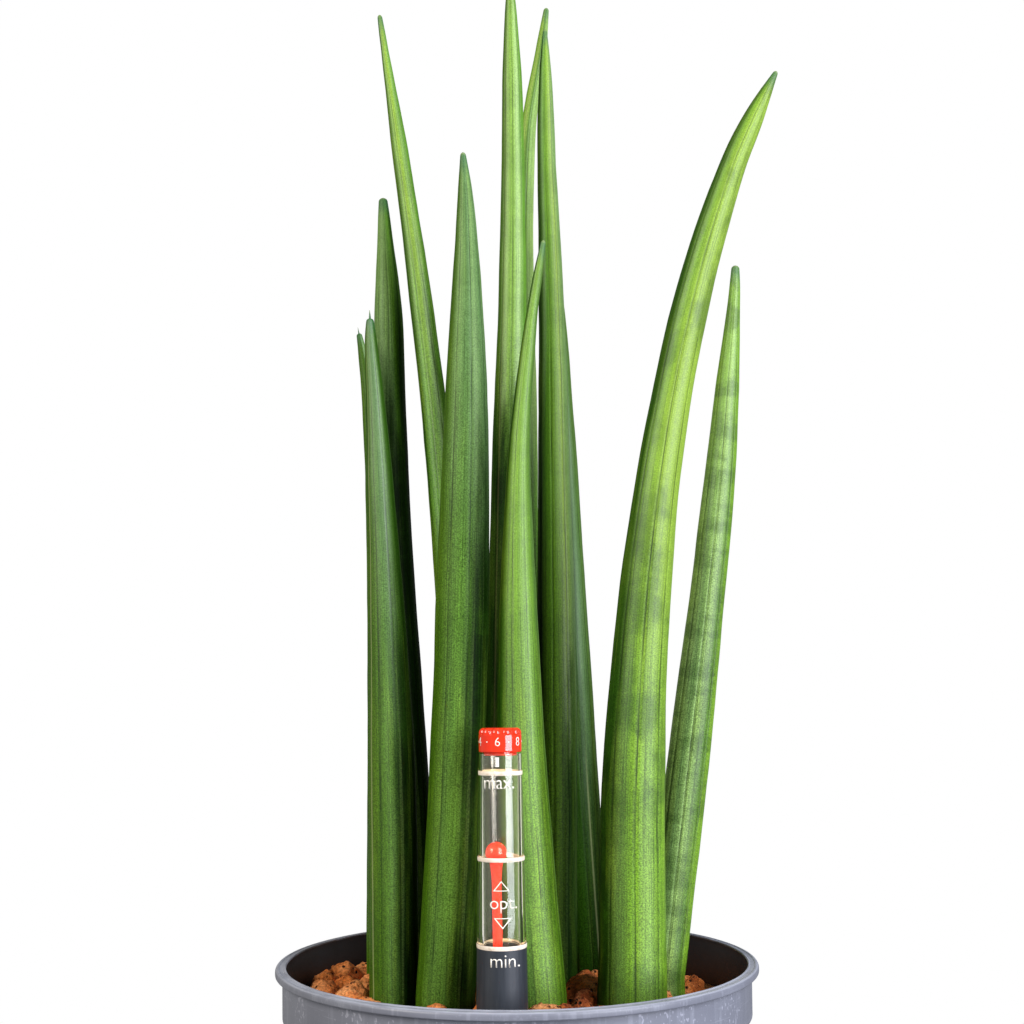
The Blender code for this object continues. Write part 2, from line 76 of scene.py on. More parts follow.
def linear(hex_colour: str) -> tuple[float, float, float, float]:
    """Turn an sRGB hex colour into linear RGBA.

    Args:
        hex_colour: A colour such as "#4A7D35".

    Returns:
        Linear red, green and blue, and an alpha of 1.
    """
    channels = [int(hex_colour[i:i + 2], 16) / 255 for i in (1, 3, 5)]
    return (*(c / 12.92 if c <= 0.04045 else ((c + 0.055) / 1.055) ** 2.4 for c in channels), 1.0)


def plug(tree: bpy.types.NodeTree, node: bpy.types.Node, name: str | int, value: object) -> None:
    """Feed a node's socket: link a socket to it, or set a number, a vector or a hex colour.

    Args:
        tree: The node tree.
        node: The node.
        name: The socket's name or number.
        value: What it gets.
    """
    if isinstance(value, Socket):
        tree.links.new(value, node.inputs[name])
    else:
        node.inputs[name].default_value = linear(value) if isinstance(value, str) else value


def add_node(tree: bpy.types.NodeTree, kind: str, settings: dict | None = None,
             inputs: dict | None = None) -> bpy.types.Node:
    """Add a shader node with its settings and links.

    Args:
        tree: The node tree it goes in.
        kind: The node's type, without "ShaderNode".
        settings: Its own properties; "stops" fills a colour ramp with (place, colour) pairs.
        inputs: Its sockets by name or number: a socket is linked, a colour or number is set.

    Returns:
        The new node.
    """
    node = tree.nodes.new("ShaderNode" + kind)
    for name, value in (settings or {}).items():
        if name == "stops":
            elements = node.color_ramp.elements
            elements.remove(elements[1])
            elements[0].position, elements[0].color = value[0][0], linear(value[0][1])
            for place, colour in value[1:]:
                elements.new(place).color = linear(colour)
        else:
            setattr(node, name, value)
    for name, value in (inputs or {}).items():
        plug(tree, node, name, value)
    return node


def deselect_all() -> None:
    """Leave nothing selected."""
    bpy.ops.object.select_all(action="DESELECT")


def pick(*pieces: Object) -> None:
    """Select only these objects, the first one active.

    Args:
        *pieces: The objects.
    """
    deselect_all()
    for piece in pieces:
        piece.select_set(True)
    bpy.context.view_layer.objects.active = pieces[0]


@contextmanager
def editing(piece: Object, mode: str = "VERT") -> Iterator[None]:
    """Edit one object's mesh, with everything in it selected.

    Args:
        piece: The object to edit.
        mode: What is selected: VERT, EDGE or FACE.

    Yields:
        Nothing; object mode comes back at the end.
    """
    pick(piece)
    bpy.ops.object.mode_set(mode="EDIT")
    bpy.ops.mesh.select_mode(type=mode)
    bpy.ops.mesh.select_all(action="SELECT")
    yield
    bpy.ops.object.mode_set(mode="OBJECT")


def select_where(piece: Object, test: Callable[[Vector], bool]) -> None:
    """In edit mode, select the vertices whose place passes a test.

    Args:
        piece: The object in edit mode.
        test: Says whether a vertex at a place is selected.
    """
    bpy.ops.mesh.select_all(action="DESELECT")
    bpy.ops.object.mode_set(mode="OBJECT")
    for vertex in piece.data.vertices:
        vertex.select = test(vertex.co)
    bpy.ops.object.mode_set(mode="EDIT")


def settle(piece: Object) -> None:
    """Move an object's place, turn and size into its mesh."""
    pick(piece)
    bpy.ops.object.transform_apply(location=True, rotation=True, scale=True)


def apply_modifier(piece: Object, kind: str, **settings: object) -> None:
    """Add a modifier with its settings and apply it.

    Args:
        piece: The object.
        kind: The modifier's type, such as "BOOLEAN".
        **settings: The modifier's own properties.
    """
    modifier = piece.modifiers.new(kind.lower(), kind)
    for name, value in settings.items():
        setattr(modifier, name, value)
    pick(piece)
    bpy.ops.object.modifier_apply(modifier=modifier.name)


def join(name: str, pieces: list[Object]) -> Object:
    """Join objects into one, placed in its mesh.

    Args:
        name: The joined piece's name.
        pieces: The objects.

    Returns:
        The joined piece.
    """
    for piece in pieces:
        settle(piece)
    pick(*pieces)
    bpy.ops.object.join()
    piece = bpy.context.object
    piece.name = piece.data.name = name
    return piece


def face_outwards(piece: Object) -> None:
    """Merge doubles, then point every face outwards.

    Args:
        piece: The object.
    """
    with editing(piece):
        bpy.ops.mesh.remove_doubles(threshold=MERGE_DISTANCE)
        bpy.ops.mesh.select_all(action="SELECT")
        bpy.ops.mesh.normals_make_consistent(inside=False)


def dress(piece: Object, material: Material) -> None:
    """Give a piece one material."""
    piece.data.materials.clear()
    piece.data.materials.append(material)


def hand_over(piece: Object, material: Material, crease: float, body: str, slot: str | None = None,
              *nodes: str) -> None:
    """Finish a piece, let it ride on a body and stand for CAD nodes, and report it.

    Args:
        piece: The piece, with its place in its mesh.
        material: Its finish.
        crease: Faces that meet at more than this angle, in degrees, keep an edge; 0 leaves all flat.
        body: The CAD body it rides on.
        slot: The material slot, where it has one; not used.
        *nodes: The CAD nodes that it replaces.
    """
    if crease:
        pick(piece)
        bpy.ops.object.shade_smooth_by_angle(angle=math.radians(crease))
    dress(piece, material)
    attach(piece, body)
    if nodes:
        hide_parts(*nodes)
    LOG.info("%s: %d faces, on %s", piece.name, len(piece.data.polygons), body)


def copy_of(master: Object) -> Object:
    """Copy an object with its own mesh.

    Args:
        master: The object.

    Returns:
        The copy.
    """
    copy = master.copy()
    copy.data = master.data.copy()
    bpy.context.scene.collection.objects.link(copy)
    return copy


def cut(piece: Object, cutters: list[Object]) -> None:
    """Cut objects out of an object, and throw them away.

    Args:
        piece: The object that loses the cutters' space.
        cutters: The objects to cut with.
    """
    cutter = join("cutter", cutters)
    apply_modifier(piece, "BOOLEAN", operation="DIFFERENCE", object=cutter, solver="EXACT")
    bpy.data.objects.remove(cutter)


def turned(name: str, profile: Profile, steps: int = 96,
           axis: tuple[float, float] = (0.0, 0.0)) -> Object:
    """Turn a piece as on a lathe: a circle is extruded and resized from point to point.

    Args:
        name: The piece's name.
        profile: Radius and height of each ring in mm. A last radius of 0 closes to a pole.
            Where the last point is the first one again, the two rings are merged.
        steps: How many sides the rings have.
        axis: Where the vertical axis stands, x and y in mm.

    Returns:
        The piece, with its faces pointing outwards.
    """
    starts_at_pole = profile[0][0] == 0.0
    rings = profile[1:] if starts_at_pole else profile
    radius, height = rings[0]
    x, y = axis[0] * MM, axis[1] * MM
    deselect_all()
    bpy.ops.mesh.primitive_circle_add(vertices=steps, radius=radius * MM, fill_type="NOTHING",
                                      location=(x, y, height * MM))
    piece = bpy.context.object
    piece.name = piece.data.name = name
    settle(piece)
    with editing(piece):
        if starts_at_pole:
            move = {"value": (0.0, 0.0, (profile[0][1] - height) * MM)}
            bpy.ops.mesh.extrude_region_move(TRANSFORM_OT_translate=move)
            bpy.ops.mesh.merge(type="CENTER")
            rim = radius * MM / 2
            select_where(piece, lambda place: math.dist(place.xy, (x, y)) > rim)
        for (radius, height), (wider, higher) in zip(rings, rings[1:]):
            move = {"value": (0.0, 0.0, (higher - height) * MM)}
            bpy.ops.mesh.extrude_region_move(TRANSFORM_OT_translate=move)
            if wider == 0.0:
                bpy.ops.mesh.merge(type="CENTER")
            else:
                share = wider / radius
                bpy.ops.transform.resize(value=(share, share, 1.0),
                                         center_override=(x, y, higher * MM))
    face_outwards(piece)
    return piece


def arc(centre: tuple[float, float], radius: float, start: float, end: float,
        count: int) -> Profile:
    """Points of a profile on an arc.

    Args:
        centre: The arc's centre, radius and height in mm.
        radius: The arc's own radius in mm.
        start: The first point's angle in degrees, 0 outwards and 90 upwards.
        end: The last point's angle in degrees.
        count: How many steps the arc has.

    Returns:
        The points from start to end.
    """
    angles = [math.radians(start + (end - start) * i / count) for i in range(count + 1)]
    return [(centre[0] + radius * math.cos(a), centre[1] + radius * math.sin(a)) for a in angles]


def around(axis: tuple[float, float], reach: float, angle: float,
           height: float) -> tuple[float, float, float]:
    """A point in metres, at a reach in mm and an angle in radians round a vertical axis."""
    return ((axis[0] + reach * math.cos(angle)) * MM, (axis[1] + reach * math.sin(angle)) * MM, height * MM)


def slot_cutters(count: int, size: tuple[float, float, float], reach: float, height: float,
                 axis: tuple[float, float] = (0.0, 0.0)) -> list[Object]:
    """A ring of round-ended blocks that cut radial slots.

    Args:
        count: How many slots stand round the axis.
        size: Each block's length outwards, width and height in mm.
        reach: How far from the axis the blocks' middles are, in mm.
        height: The height of the blocks' middles in mm.
        axis: Where the vertical axis stands, x and y in mm.

    Returns:
        The blocks.
    """
    deselect_all()
    bpy.ops.mesh.primitive_cube_add(size=1.0)
    block = bpy.context.object
    block.scale = [side * MM for side in size]
    settle(block)
    apply_modifier(block, "BEVEL", width=size[1] * MM * 0.45, segments=4)
    blocks = []
    for index in range(count):
        copy = copy_of(block)
        angle = math.tau * (index + 0.5) / count
        copy.location = around(axis, reach, angle, height)
        copy.rotation_euler.z = angle
        blocks.append(copy)
    bpy.data.objects.remove(block)
    return blocks


class Skin:
    """A material under construction: its node tree, and short ways to add to it."""

    def __init__(self, name: str) -> None:
        """Start a material that has one Principled shader.

        Args:
            name: The material's name.
        """
        self.material = bpy.data.materials.new(name)
        self.material.use_nodes = True
        self.tree = self.material.node_tree
        self.shader = self.tree.nodes["Principled BSDF"]
        self.solid = self.add("TexCoord").outputs["Object"]

    def add(self, kind: str, settings: dict | None = None, inputs: dict | None = None) -> bpy.types.Node:
        """Add a node; see add_node."""
        return add_node(self.tree, kind, settings, inputs)

    def times(self, vector: Socket, factor: Socket | tuple[float, float, float]) -> Socket:
        """Multiply a place or a colour, part by part."""
        return self.add("VectorMath", {"operation": "MULTIPLY"}, {0: vector, 1: factor}).outputs[0]

    def parts(self, vector: Socket) -> list[Socket]:
        """Split a vector into its three parts."""
        return list(self.add("SeparateXYZ", None, {0: vector}).outputs)

    def maths(self, operation: str, *values: Socket | float) -> Socket:
        """Work out one number from others."""
        return self.add("Math", {"operation": operation}, dict(enumerate(values))).outputs[0]

    def noise(self, place: Socket, scale: float | tuple[float, float] = 1.0, detail: float = 3.0,
              roughness: float = 0.5) -> Socket:
        """Cloud noise, 0 to 1 and mostly near 0.5; two scales are one across and one along Z.

        Args:
            place: Where it is read.
            scale: How many lumps a unit of the place has.
            detail: How many octaves it has.
            roughness: How strong the finer ones are.

        Returns:
            The noise.
        """
        if isinstance(scale, tuple):
            place, scale = self.times(place, (scale[0], scale[0], scale[1])), 1.0
        return self.add("TexNoise", None, {
            "Vector": place, "Scale": scale, "Detail": detail, "Roughness": roughness}).outputs["Fac"]

    def remap(self, value: Socket, low: float, high: float, to_low: float = 0.0,
              to_high: float = 1.0) -> Socket:
        """Map a range of a value to another range, softly, and hold it at both ends."""
        return self.add("MapRange", {"interpolation_type": "SMOOTHSTEP"}, {
            0: value, 1: low, 2: high, 3: to_low, 4: to_high}).outputs[0]

    def mix(self, share: Socket, first: Socket | str, second: Socket | str) -> Socket:
        """Blend two colours."""
        return self.add("Mix", {"data_type": "RGBA"}, {
            MIX_FACTOR: share, MIX_A: first, MIX_B: second}).outputs[MIX_RESULT]

    def over(self, base: Socket | str, colour: str, pattern: Socket, *ends: float) -> Socket:
        """Lay a colour over another by a pattern, whose ends are those of remap."""
        return self.mix(self.remap(pattern, *ends), base, colour)

    def blend(self, stops: tuple[tuple[float, str], ...], at: Socket) -> Socket:
        """Read a colour ramp."""
        return self.add("ValToRGB", {"stops": stops}, {0: at}).outputs[0]

    def finish(self, colour: Socket | str, roughness: Socket | float, height: Socket, strength: float,
               depth: float, **others: Socket | float) -> Material:
        """Feed the shader.

        Args:
            colour: The base colour.
            roughness: The roughness.
            height: The relief's height, 0 to 1.
            strength: How strongly the relief shows.
            depth: How deep it is, in mm.
            **others: Other inputs of the shader, with "_" for each space.

        Returns:
            The finished material.
        """
        relief = self.add("Bump", None, {"Height": height, "Strength": strength, "Distance": depth * MM})
        inputs = {"Base Color": colour, "Roughness": roughness, "Normal": relief.outputs[0]}
        inputs |= {name.replace("_", " "): value for name, value in others.items()}
        for name, value in inputs.items():
            plug(self.tree, self.shader, name, value)
        return self.material

    def open_up(self, share: Socket, tint: str = "#FFFFFF") -> None:
        """Let a share of the light go straight through, in a tint."""
        clear = self.add("BsdfTransparent", None, {"Color": tint})
        both = self.add("MixShader", None, {0: share, 1: self.shader.outputs["BSDF"], 2: clear.outputs[0]})
        plug(self.tree, self.tree.nodes["Material Output"], "Surface", both.outputs[0])


class Tone(str, Enum):
    """The greens, browns and creams of the leaves, as sRGB hex values, painted shade and sheen among them."""

    # DEEP and SHADE also serve as painted shade, and PALE as painted sheen, in the tones round a leaf
    DEEP = "#091A02"
    SHADE = "#193209"
    FOREST = "#284A0B"
    OLIVE = "#3A5B0B"
    LEAF = "#4C6F27"
    SPRUCE = "#557543"
    MEADOW = "#54851B"
    MOSS = "#67911E"
    SAGE = "#6D8F4B"
    LIME = "#709635"
    CITRON = "#82A131"
    PALE = "#8DAE5B"
    CREAM = "#B9BE88"
    TEAL = "#33603F"
    BARK = "#6A5D45"


# Where a leaf's tones lie round it, as shares of a turn from the back by way of the left
ROUND_A_LEAF = (0.0, 0.2, 0.345, 0.42, 0.5, 0.58, 0.655, 0.8, 1.0)


def tones(names: str) -> tuple[Tone, ...]:
    """Look up five tones, from the left over the front to the right, by their names."""
    return tuple(Tone[name.upper()] for name in names.split())


@dataclass(frozen=True)
class LeafSkin:
    """Living leaf with a waxy cuticle: a soft satin sheen over grainy, streaked green, with painted shade and
    sheen.
    """

    low: tuple[Tone, ...]                      # the tones round its lower part: own colour, painted shade and painted sheen
    high: tuple[Tone, ...]                     # those round its upper part, painted shade and sheen among them
    length: float                              # mm from the bed line to the tip
    fade: tuple[float, float] = (0.3, 0.9)     # shares of the length between low and high tones
    bands: float = 0.15                        # how strongly darker bands cross the leaf
    band_length: float = 9.0                   # how far apart they are, in mm
    flush: float = 0.12                        # how much lime shows through in long patches
    margin_at: float = 0.0                     # where a margin line runs, degrees right of the front
    margin: Tone = Tone.BARK
    margin_share: float = 0.0                  # how strongly it shows
    margin_reach: float = 1000.0               # how far up it runs, in mm
    wax: float = 0.5                           # how shiny the skin is
    raggedness: float = 0.3                    # how far the low tones reach up in patches, as a share

    def zones(self, skin: Skin, turn: Socket, five: tuple[Tone, ...]) -> Socket:
        """The tones round the leaf, painted shade and sheen among them; its unseen back has the front's and
        the outer ones.
        """
        ring = (five[2], five[0], *five, five[4], five[2])
        return skin.blend(tuple(zip(ROUND_A_LEAF, ring)), turn)

    def base_green(self, skin: Skin, place: Socket, turn: Socket, along: Socket) -> tuple[Socket, Socket]:
        """The green without its markings: the tones round the leaf, with their painted shade and sheen.

        Args:
            skin: The material under construction.
            place: The place on the straightened leaf, in mm.
            turn: The turn round the leaf, from 0 at the back to 1.
            along: How far along the leaf it is, in mm.

        Returns:
            The share of the high tones, and the colour.
        """
        drift = skin.noise(place, (0.12, 0.012), 2.0)
        wander = skin.maths("MULTIPLY_ADD", drift, 0.14, skin.maths("SUBTRACT", turn, 0.07))
        patch = skin.noise(place, (0.2, 0.03), 4.0, 0.6)
        rise = skin.maths("MULTIPLY_ADD", patch, self.length * self.raggedness, along)
        start, end = (self.length * (share + self.raggedness / 2) for share in self.fade)
        share = skin.remap(rise, start, end)
        # The tones hold painted shade where neighbours shut off the lamps, and painted sheen strips
        return share, skin.mix(share, self.zones(skin, wander, self.low), self.zones(skin, wander, self.high))

    def material(self, name: str) -> Material:
        """Build the material from the piece's skin_place and skin_marks attributes.

        Args:
            name: The material's name.

        Returns:
            The material.
        """
        skin = Skin(name)
        place, marks = (skin.add("Attribute", {"attribute_name": mark}).outputs["Vector"]
                        for mark in ("skin_place", "skin_marks"))
        x, y, along = skin.parts(place)
        groove, to_tip, _ = skin.parts(marks)
        angle = skin.maths("ARCTAN2", x, skin.maths("MULTIPLY", y, -1.0))
        turn = skin.maths("MULTIPLY_ADD", angle, 1 / math.tau, 0.5)
        share, green = self.base_green(skin, place, turn, along)
        # Less wax sheen where the tones are dark, so that the painted shade stays dark
        shine = skin.remap(skin.add("RGBToBW", None, {0: green}).outputs[0], 0.03, 0.18, 0.04, self.wax)
        # Lime flushes, 4 mm wide and some 50 mm long
        flush = skin.noise(place, (0.25, 0.02))
        green = skin.over(green, Tone.CITRON, flush, 0.5, 0.7, 0.0, self.flush)
        # Irregular darker bands across the leaf, ragged at their edges
        band = skin.noise(place, (0.05, 1.0 / self.band_length), 4.0, 0.6)
        green = skin.over(green, Tone.FOREST, band, 0.45, 0.62, 0.0, self.bands)
        # Fine veins under the cuticle, 0.5 mm wide and as long as a finger, and paler ones
        vein = skin.noise(place, (1.7, 0.012), roughness=0.65)
        green = skin.over(green, Tone.SHADE, vein, 0.52, 0.72, 0.0, 0.5)
        green = skin.over(green, Tone.PALE, skin.noise(place, (0.9, 0.006), 2.0), 0.56, 0.74, 0.0, 0.08)
        # Grain of the cuticle, cells 0.4 mm wide and a little less high
        grain = skin.noise(skin.solid, (2300.0, 3200.0), 2.0, 0.6)
        rough = skin.times(green, skin.remap(grain, 0.3, 0.7, 0.52, 1.48))
        # Fibres under it, 0.3 mm wide and some 15 mm long
        fibre = skin.noise(place, (3.2, 0.06), 3.0, 0.6)
        rough = skin.times(rough, skin.remap(fibre, 0.3, 0.7, 0.8, 1.2))
        # Both are calmer on the young skin higher up
        green = skin.mix(skin.maths("MULTIPLY", share, 0.55), rough, green)
        # Fine furrows between the ribs, 2.5 mm apart, that come and go along the leaf
        furrow = skin.maths("PINGPONG", skin.maths("MULTIPLY", turn, 20.0), 0.5)
        faded = skin.remap(skin.noise(place, (0.4, 0.03)), 0.42, 0.62, 0.0, 0.35)
        furrows = skin.maths("MULTIPLY", skin.remap(furrow, 0.02, 0.08, 1.0, 0.0), faded)
        green = skin.mix(furrows, green, Tone.SHADE)
        # Dark groove bottoms, broken here and there
        broken = skin.remap(skin.noise(place, (0.5, 0.05), 4.0), 0.4, 0.6, 0.3, 0.85)
        green = skin.mix(skin.maths("MULTIPLY", skin.maths("POWER", groove, 1.8), broken), green, Tone.DEEP)
        if self.margin_share:
            away = skin.maths("ABSOLUTE", skin.maths("SUBTRACT", turn, 0.5 + self.margin_at / 360))
            line = skin.maths("MULTIPLY", skin.remap(away, 0.002, 0.011, self.margin_share, 0.0),
                              skin.remap(along, self.margin_reach - 25, self.margin_reach, 1.0, 0.0))
            green = skin.mix(line, green, self.margin)
        # Small scars, and the hard tip: bluish green, its very end dry
        scar = skin.noise(skin.solid, (260.0, 120.0), 5.0, 0.75)
        green = skin.over(green, Tone.CREAM, scar, 0.72, 0.76, 0.0, 0.7)
        green = skin.over(green, Tone.TEAL, to_tip, 2.0, 9.0, 0.6, 0.0)
        green = skin.over(green, Tone.CREAM, to_tip, 0.3, 1.4, 0.3, 0.0)
        # Wax lies thinner in places, and grains and veins stand proud by a hair
        wax = skin.remap(flush, 0.3, 0.7, 0.4, 0.52)
        height = skin.maths("MULTIPLY_ADD", vein, 0.6, grain)
        return skin.finish(green, wax, height, 0.45, 0.16, Specular_IOR_Level=shine, IOR=1.42)


@dataclass(frozen=True)
class PotPlastic:
    """Injection-moulded recycled polypropylene: blue-grey, satin, scuffed pale at its edges, with a painted
    highlight on the crest.
    """

    colour: str = "#6D6F79"
    worn: str = "#A2A5B0"
    dust: str = "#BDBECB"
    damp: str = "#0D0A09"
    inside: tuple[float, float] = (0.0717, 0.0723)    # radii between the darkened and the plain plastic
    stain_from: float = 0.174                         # height above which the inside is darkened
    lip_from: tuple[float, float] = (0.1874, 0.1878)  # heights where the dusty wall ends
    crest: tuple[float, float] = (0.1899, 0.1903)     # heights where the crest's wear and painted highlight start

    def material(self) -> Material:
        """Build the material; its heights and radii are in metres.

        Returns:
            The material.
        """
        skin = Skin("grey_polypropylene")
        x, y, z = skin.parts(skin.solid)
        # Flow marks of the mould, 30 mm wide
        cloud = skin.noise(skin.solid, 30.0, 4.0)
        base = skin.over(self.colour, self.worn, cloud, 0.4, 0.7, 0.0, 0.14)
        # Scratches round the wall, 0.7 mm wide and 15 mm long
        scratch = skin.noise(skin.solid, (60.0, 1500.0), 5.0, 0.65)
        base = skin.over(base, self.worn, scratch, 0.58, 0.78, 0.0, 0.5)
        # Specks of dried lime and dust, under 1 mm, in groups and few on the lip
        speck = skin.noise(skin.solid, (1300.0, 800.0), 1.0)
        grouped = skin.maths("MULTIPLY_ADD", skin.noise(skin.solid, 60.0, 2.0), 0.7, speck)
        wall = skin.remap(z, *self.lip_from, 0.4, 0.08)
        base = skin.mix(skin.maths("MULTIPLY", skin.remap(grouped, 1.03, 1.12), wall), base, self.dust)
        # Runs down the wall, 1.5 mm wide, where water has dried
        run = skin.noise(skin.solid, (700.0, 40.0))
        base = skin.over(base, self.worn, run, 0.5, 0.75, 0.0, 0.25)
        # The inside wall above the bed is made near black
        squares = skin.maths("ADD", skin.maths("MULTIPLY", x, x), skin.maths("MULTIPLY", y, y))
        out = skin.maths("SQRT", squares)
        darkened = skin.maths("MULTIPLY", skin.remap(out, *self.inside, 1.0, 0.0),
                           skin.maths("GREATER_THAN", z, self.stain_from))
        base = skin.mix(darkened, base, self.damp)
        # The rim's crest is painted pale, broken up by the scratches: partly rubbed wear, partly a painted
        # highlight along the top
        crest_wear_and_highlight = skin.maths("MULTIPLY", skin.remap(z, *self.crest), skin.remap(scratch, 0.35, 0.6, 0.3, 0.9))
        base = skin.mix(crest_wear_and_highlight, base, self.worn)
        height = skin.maths("MULTIPLY_ADD", scratch, 0.7, skin.noise(skin.solid, 1500.0, 2.0))
        return skin.finish(base, skin.remap(cloud, 0.2, 0.8, 0.34, 0.48), height, 0.3, 0.12, IOR=1.49)


@dataclass(frozen=True)
class ExpandedClay:
    """Kiln-fired expanded clay: a matt, dusty orange crust, broken open to dark pores."""

    crust: str = "#DA7834"
    # The pale and the burnt colours also paint highlight and shade on the crust's relief
    pale: str = "#F0A264"
    burnt: str = "#8A421C"
    pore: str = "#170B06"

    def material(self) -> Material:
        """Build the material.

        Returns:
            The material.
        """
        skin = Skin("expanded_clay")
        # Each pebble is fired a little differently: patches about as large as a pebble
        fired = skin.noise(skin.solid, 75.0)
        base = skin.blend(((0.34, self.burnt), (0.47, self.crust), (0.66, self.pale)), fired)
        # Paler where the crust stands proud, darker in its hollows, 2 mm patches and finer: partly scorching,
        # partly painted highlight and shade that follow the relief
        patch = skin.noise(skin.solid, 420.0, 6.0, 0.75)
        base = skin.over(base, self.pale, patch, 0.52, 0.7, 0.0, 0.5)
        base = skin.over(base, self.burnt, patch, 0.34, 0.5, 0.75, 0.0)
        # Open pores, 0.3 to 1.2 mm across, more on some pebbles than on others
        cells = skin.add("TexVoronoi", None, {"Vector": skin.solid, "Scale": 520.0})
        gate = skin.remap(skin.noise(skin.solid, 160.0, 2.0), 0.38, 0.56)
        pores = skin.maths("MULTIPLY", skin.remap(cells.outputs["Distance"], 0.14, 0.34, 1.0, 0.0), gate)
        base = skin.mix(pores, base, self.pore)
        crumbs = skin.noise(skin.solid, 1300.0, 3.0, 0.7)
        base = skin.times(base, skin.remap(crumbs, 0.3, 0.7, 0.62, 1.38))
        height = skin.maths("MULTIPLY_ADD", pores, -1.3, skin.maths("MULTIPLY_ADD", crumbs, 0.45, patch))
        return skin.finish(base, 0.92, height, 1.0, 0.9, Specular_IOR_Level=0.25)


@dataclass(frozen=True)
class GaugePlastic:
    """Smooth moulded plastic of the gauge: an even colour with hairline handling marks."""

    name: str
    colour: str
    marked: str
    roughness: float
    grain: float
    ior: float = 1.5

    def material(self) -> Material:
        """Build the material.

        Returns:
            The material.
        """
        skin = Skin(self.name)
        # Hairlines along the piece, 0.7 mm apart
        hairline = skin.noise(skin.solid, (1400.0, 45.0), 4.0, 0.6)
        colour = skin.over(self.colour, self.marked, hairline, 0.5, 0.75, 0.0, 0.4)
        rough = skin.remap(hairline, 0.2, 0.8, self.roughness * 0.8, self.roughness * 1.2)
        return skin.finish(colour, rough, skin.noise(skin.solid, 420.0), self.grain, 0.2, IOR=self.ior)


@dataclass(frozen=True)
class ClearPolystyrene:
    """Moulded clear polystyrene: glass-like, a touch warm, with faint flow lines."""

    tint: str = "#F3EFE4"

    def material(self) -> Material:
        """Build the material; lamp light goes through to the rod behind.

        Returns:
            The material.
        """
        skin = Skin("clear_polystyrene")
        flow = skin.noise(skin.solid, (500.0, 12.0))
        material = skin.finish(self.tint, 0.04, flow, 0.006, 0.1, IOR=1.5, Transmission_Weight=1.0)
        skin.open_up(skin.add("LightPath").outputs["Is Shadow Ray"], self.tint)
        return material


@dataclass(frozen=True)
class PadPrintInk:
    """Pad-printed lacquer: an opaque white or cream that lies a hair proud, worn thin in spots."""

    name: str = "pad_print_white"
    colour: str = "#F4EFE2"
    thin: str = "#D5C9B2"

    def material(self) -> Material:
        """Build the material.

        Returns:
            The material.
        """
        skin = Skin(self.name)
        blot = skin.noise(skin.solid, 900.0)
        return skin.finish(skin.blend(((0.3, self.thin), (0.5, self.colour)), blot), 0.45, blot, 0.15, 0.05)


@dataclass(frozen=True)
class FloatFoam:
    """Fused bead foam of the float: matt off-white, with the seams of 2 mm beads."""

    colour: str = "#D8D6CC"
    seam: str = "#A8A59A"

    def material(self) -> Material:
        """Build the material.

        Returns:
            The material.
        """
        skin = Skin("bead_foam")
        beads = skin.add("TexVoronoi", {"feature": "DISTANCE_TO_EDGE"},
                         {"Vector": skin.solid, "Scale": 500.0}).outputs["Distance"]
        return skin.finish(skin.blend(((0.0, self.seam), (0.12, self.colour)), beads), 0.85, beads, 0.5, 0.3)


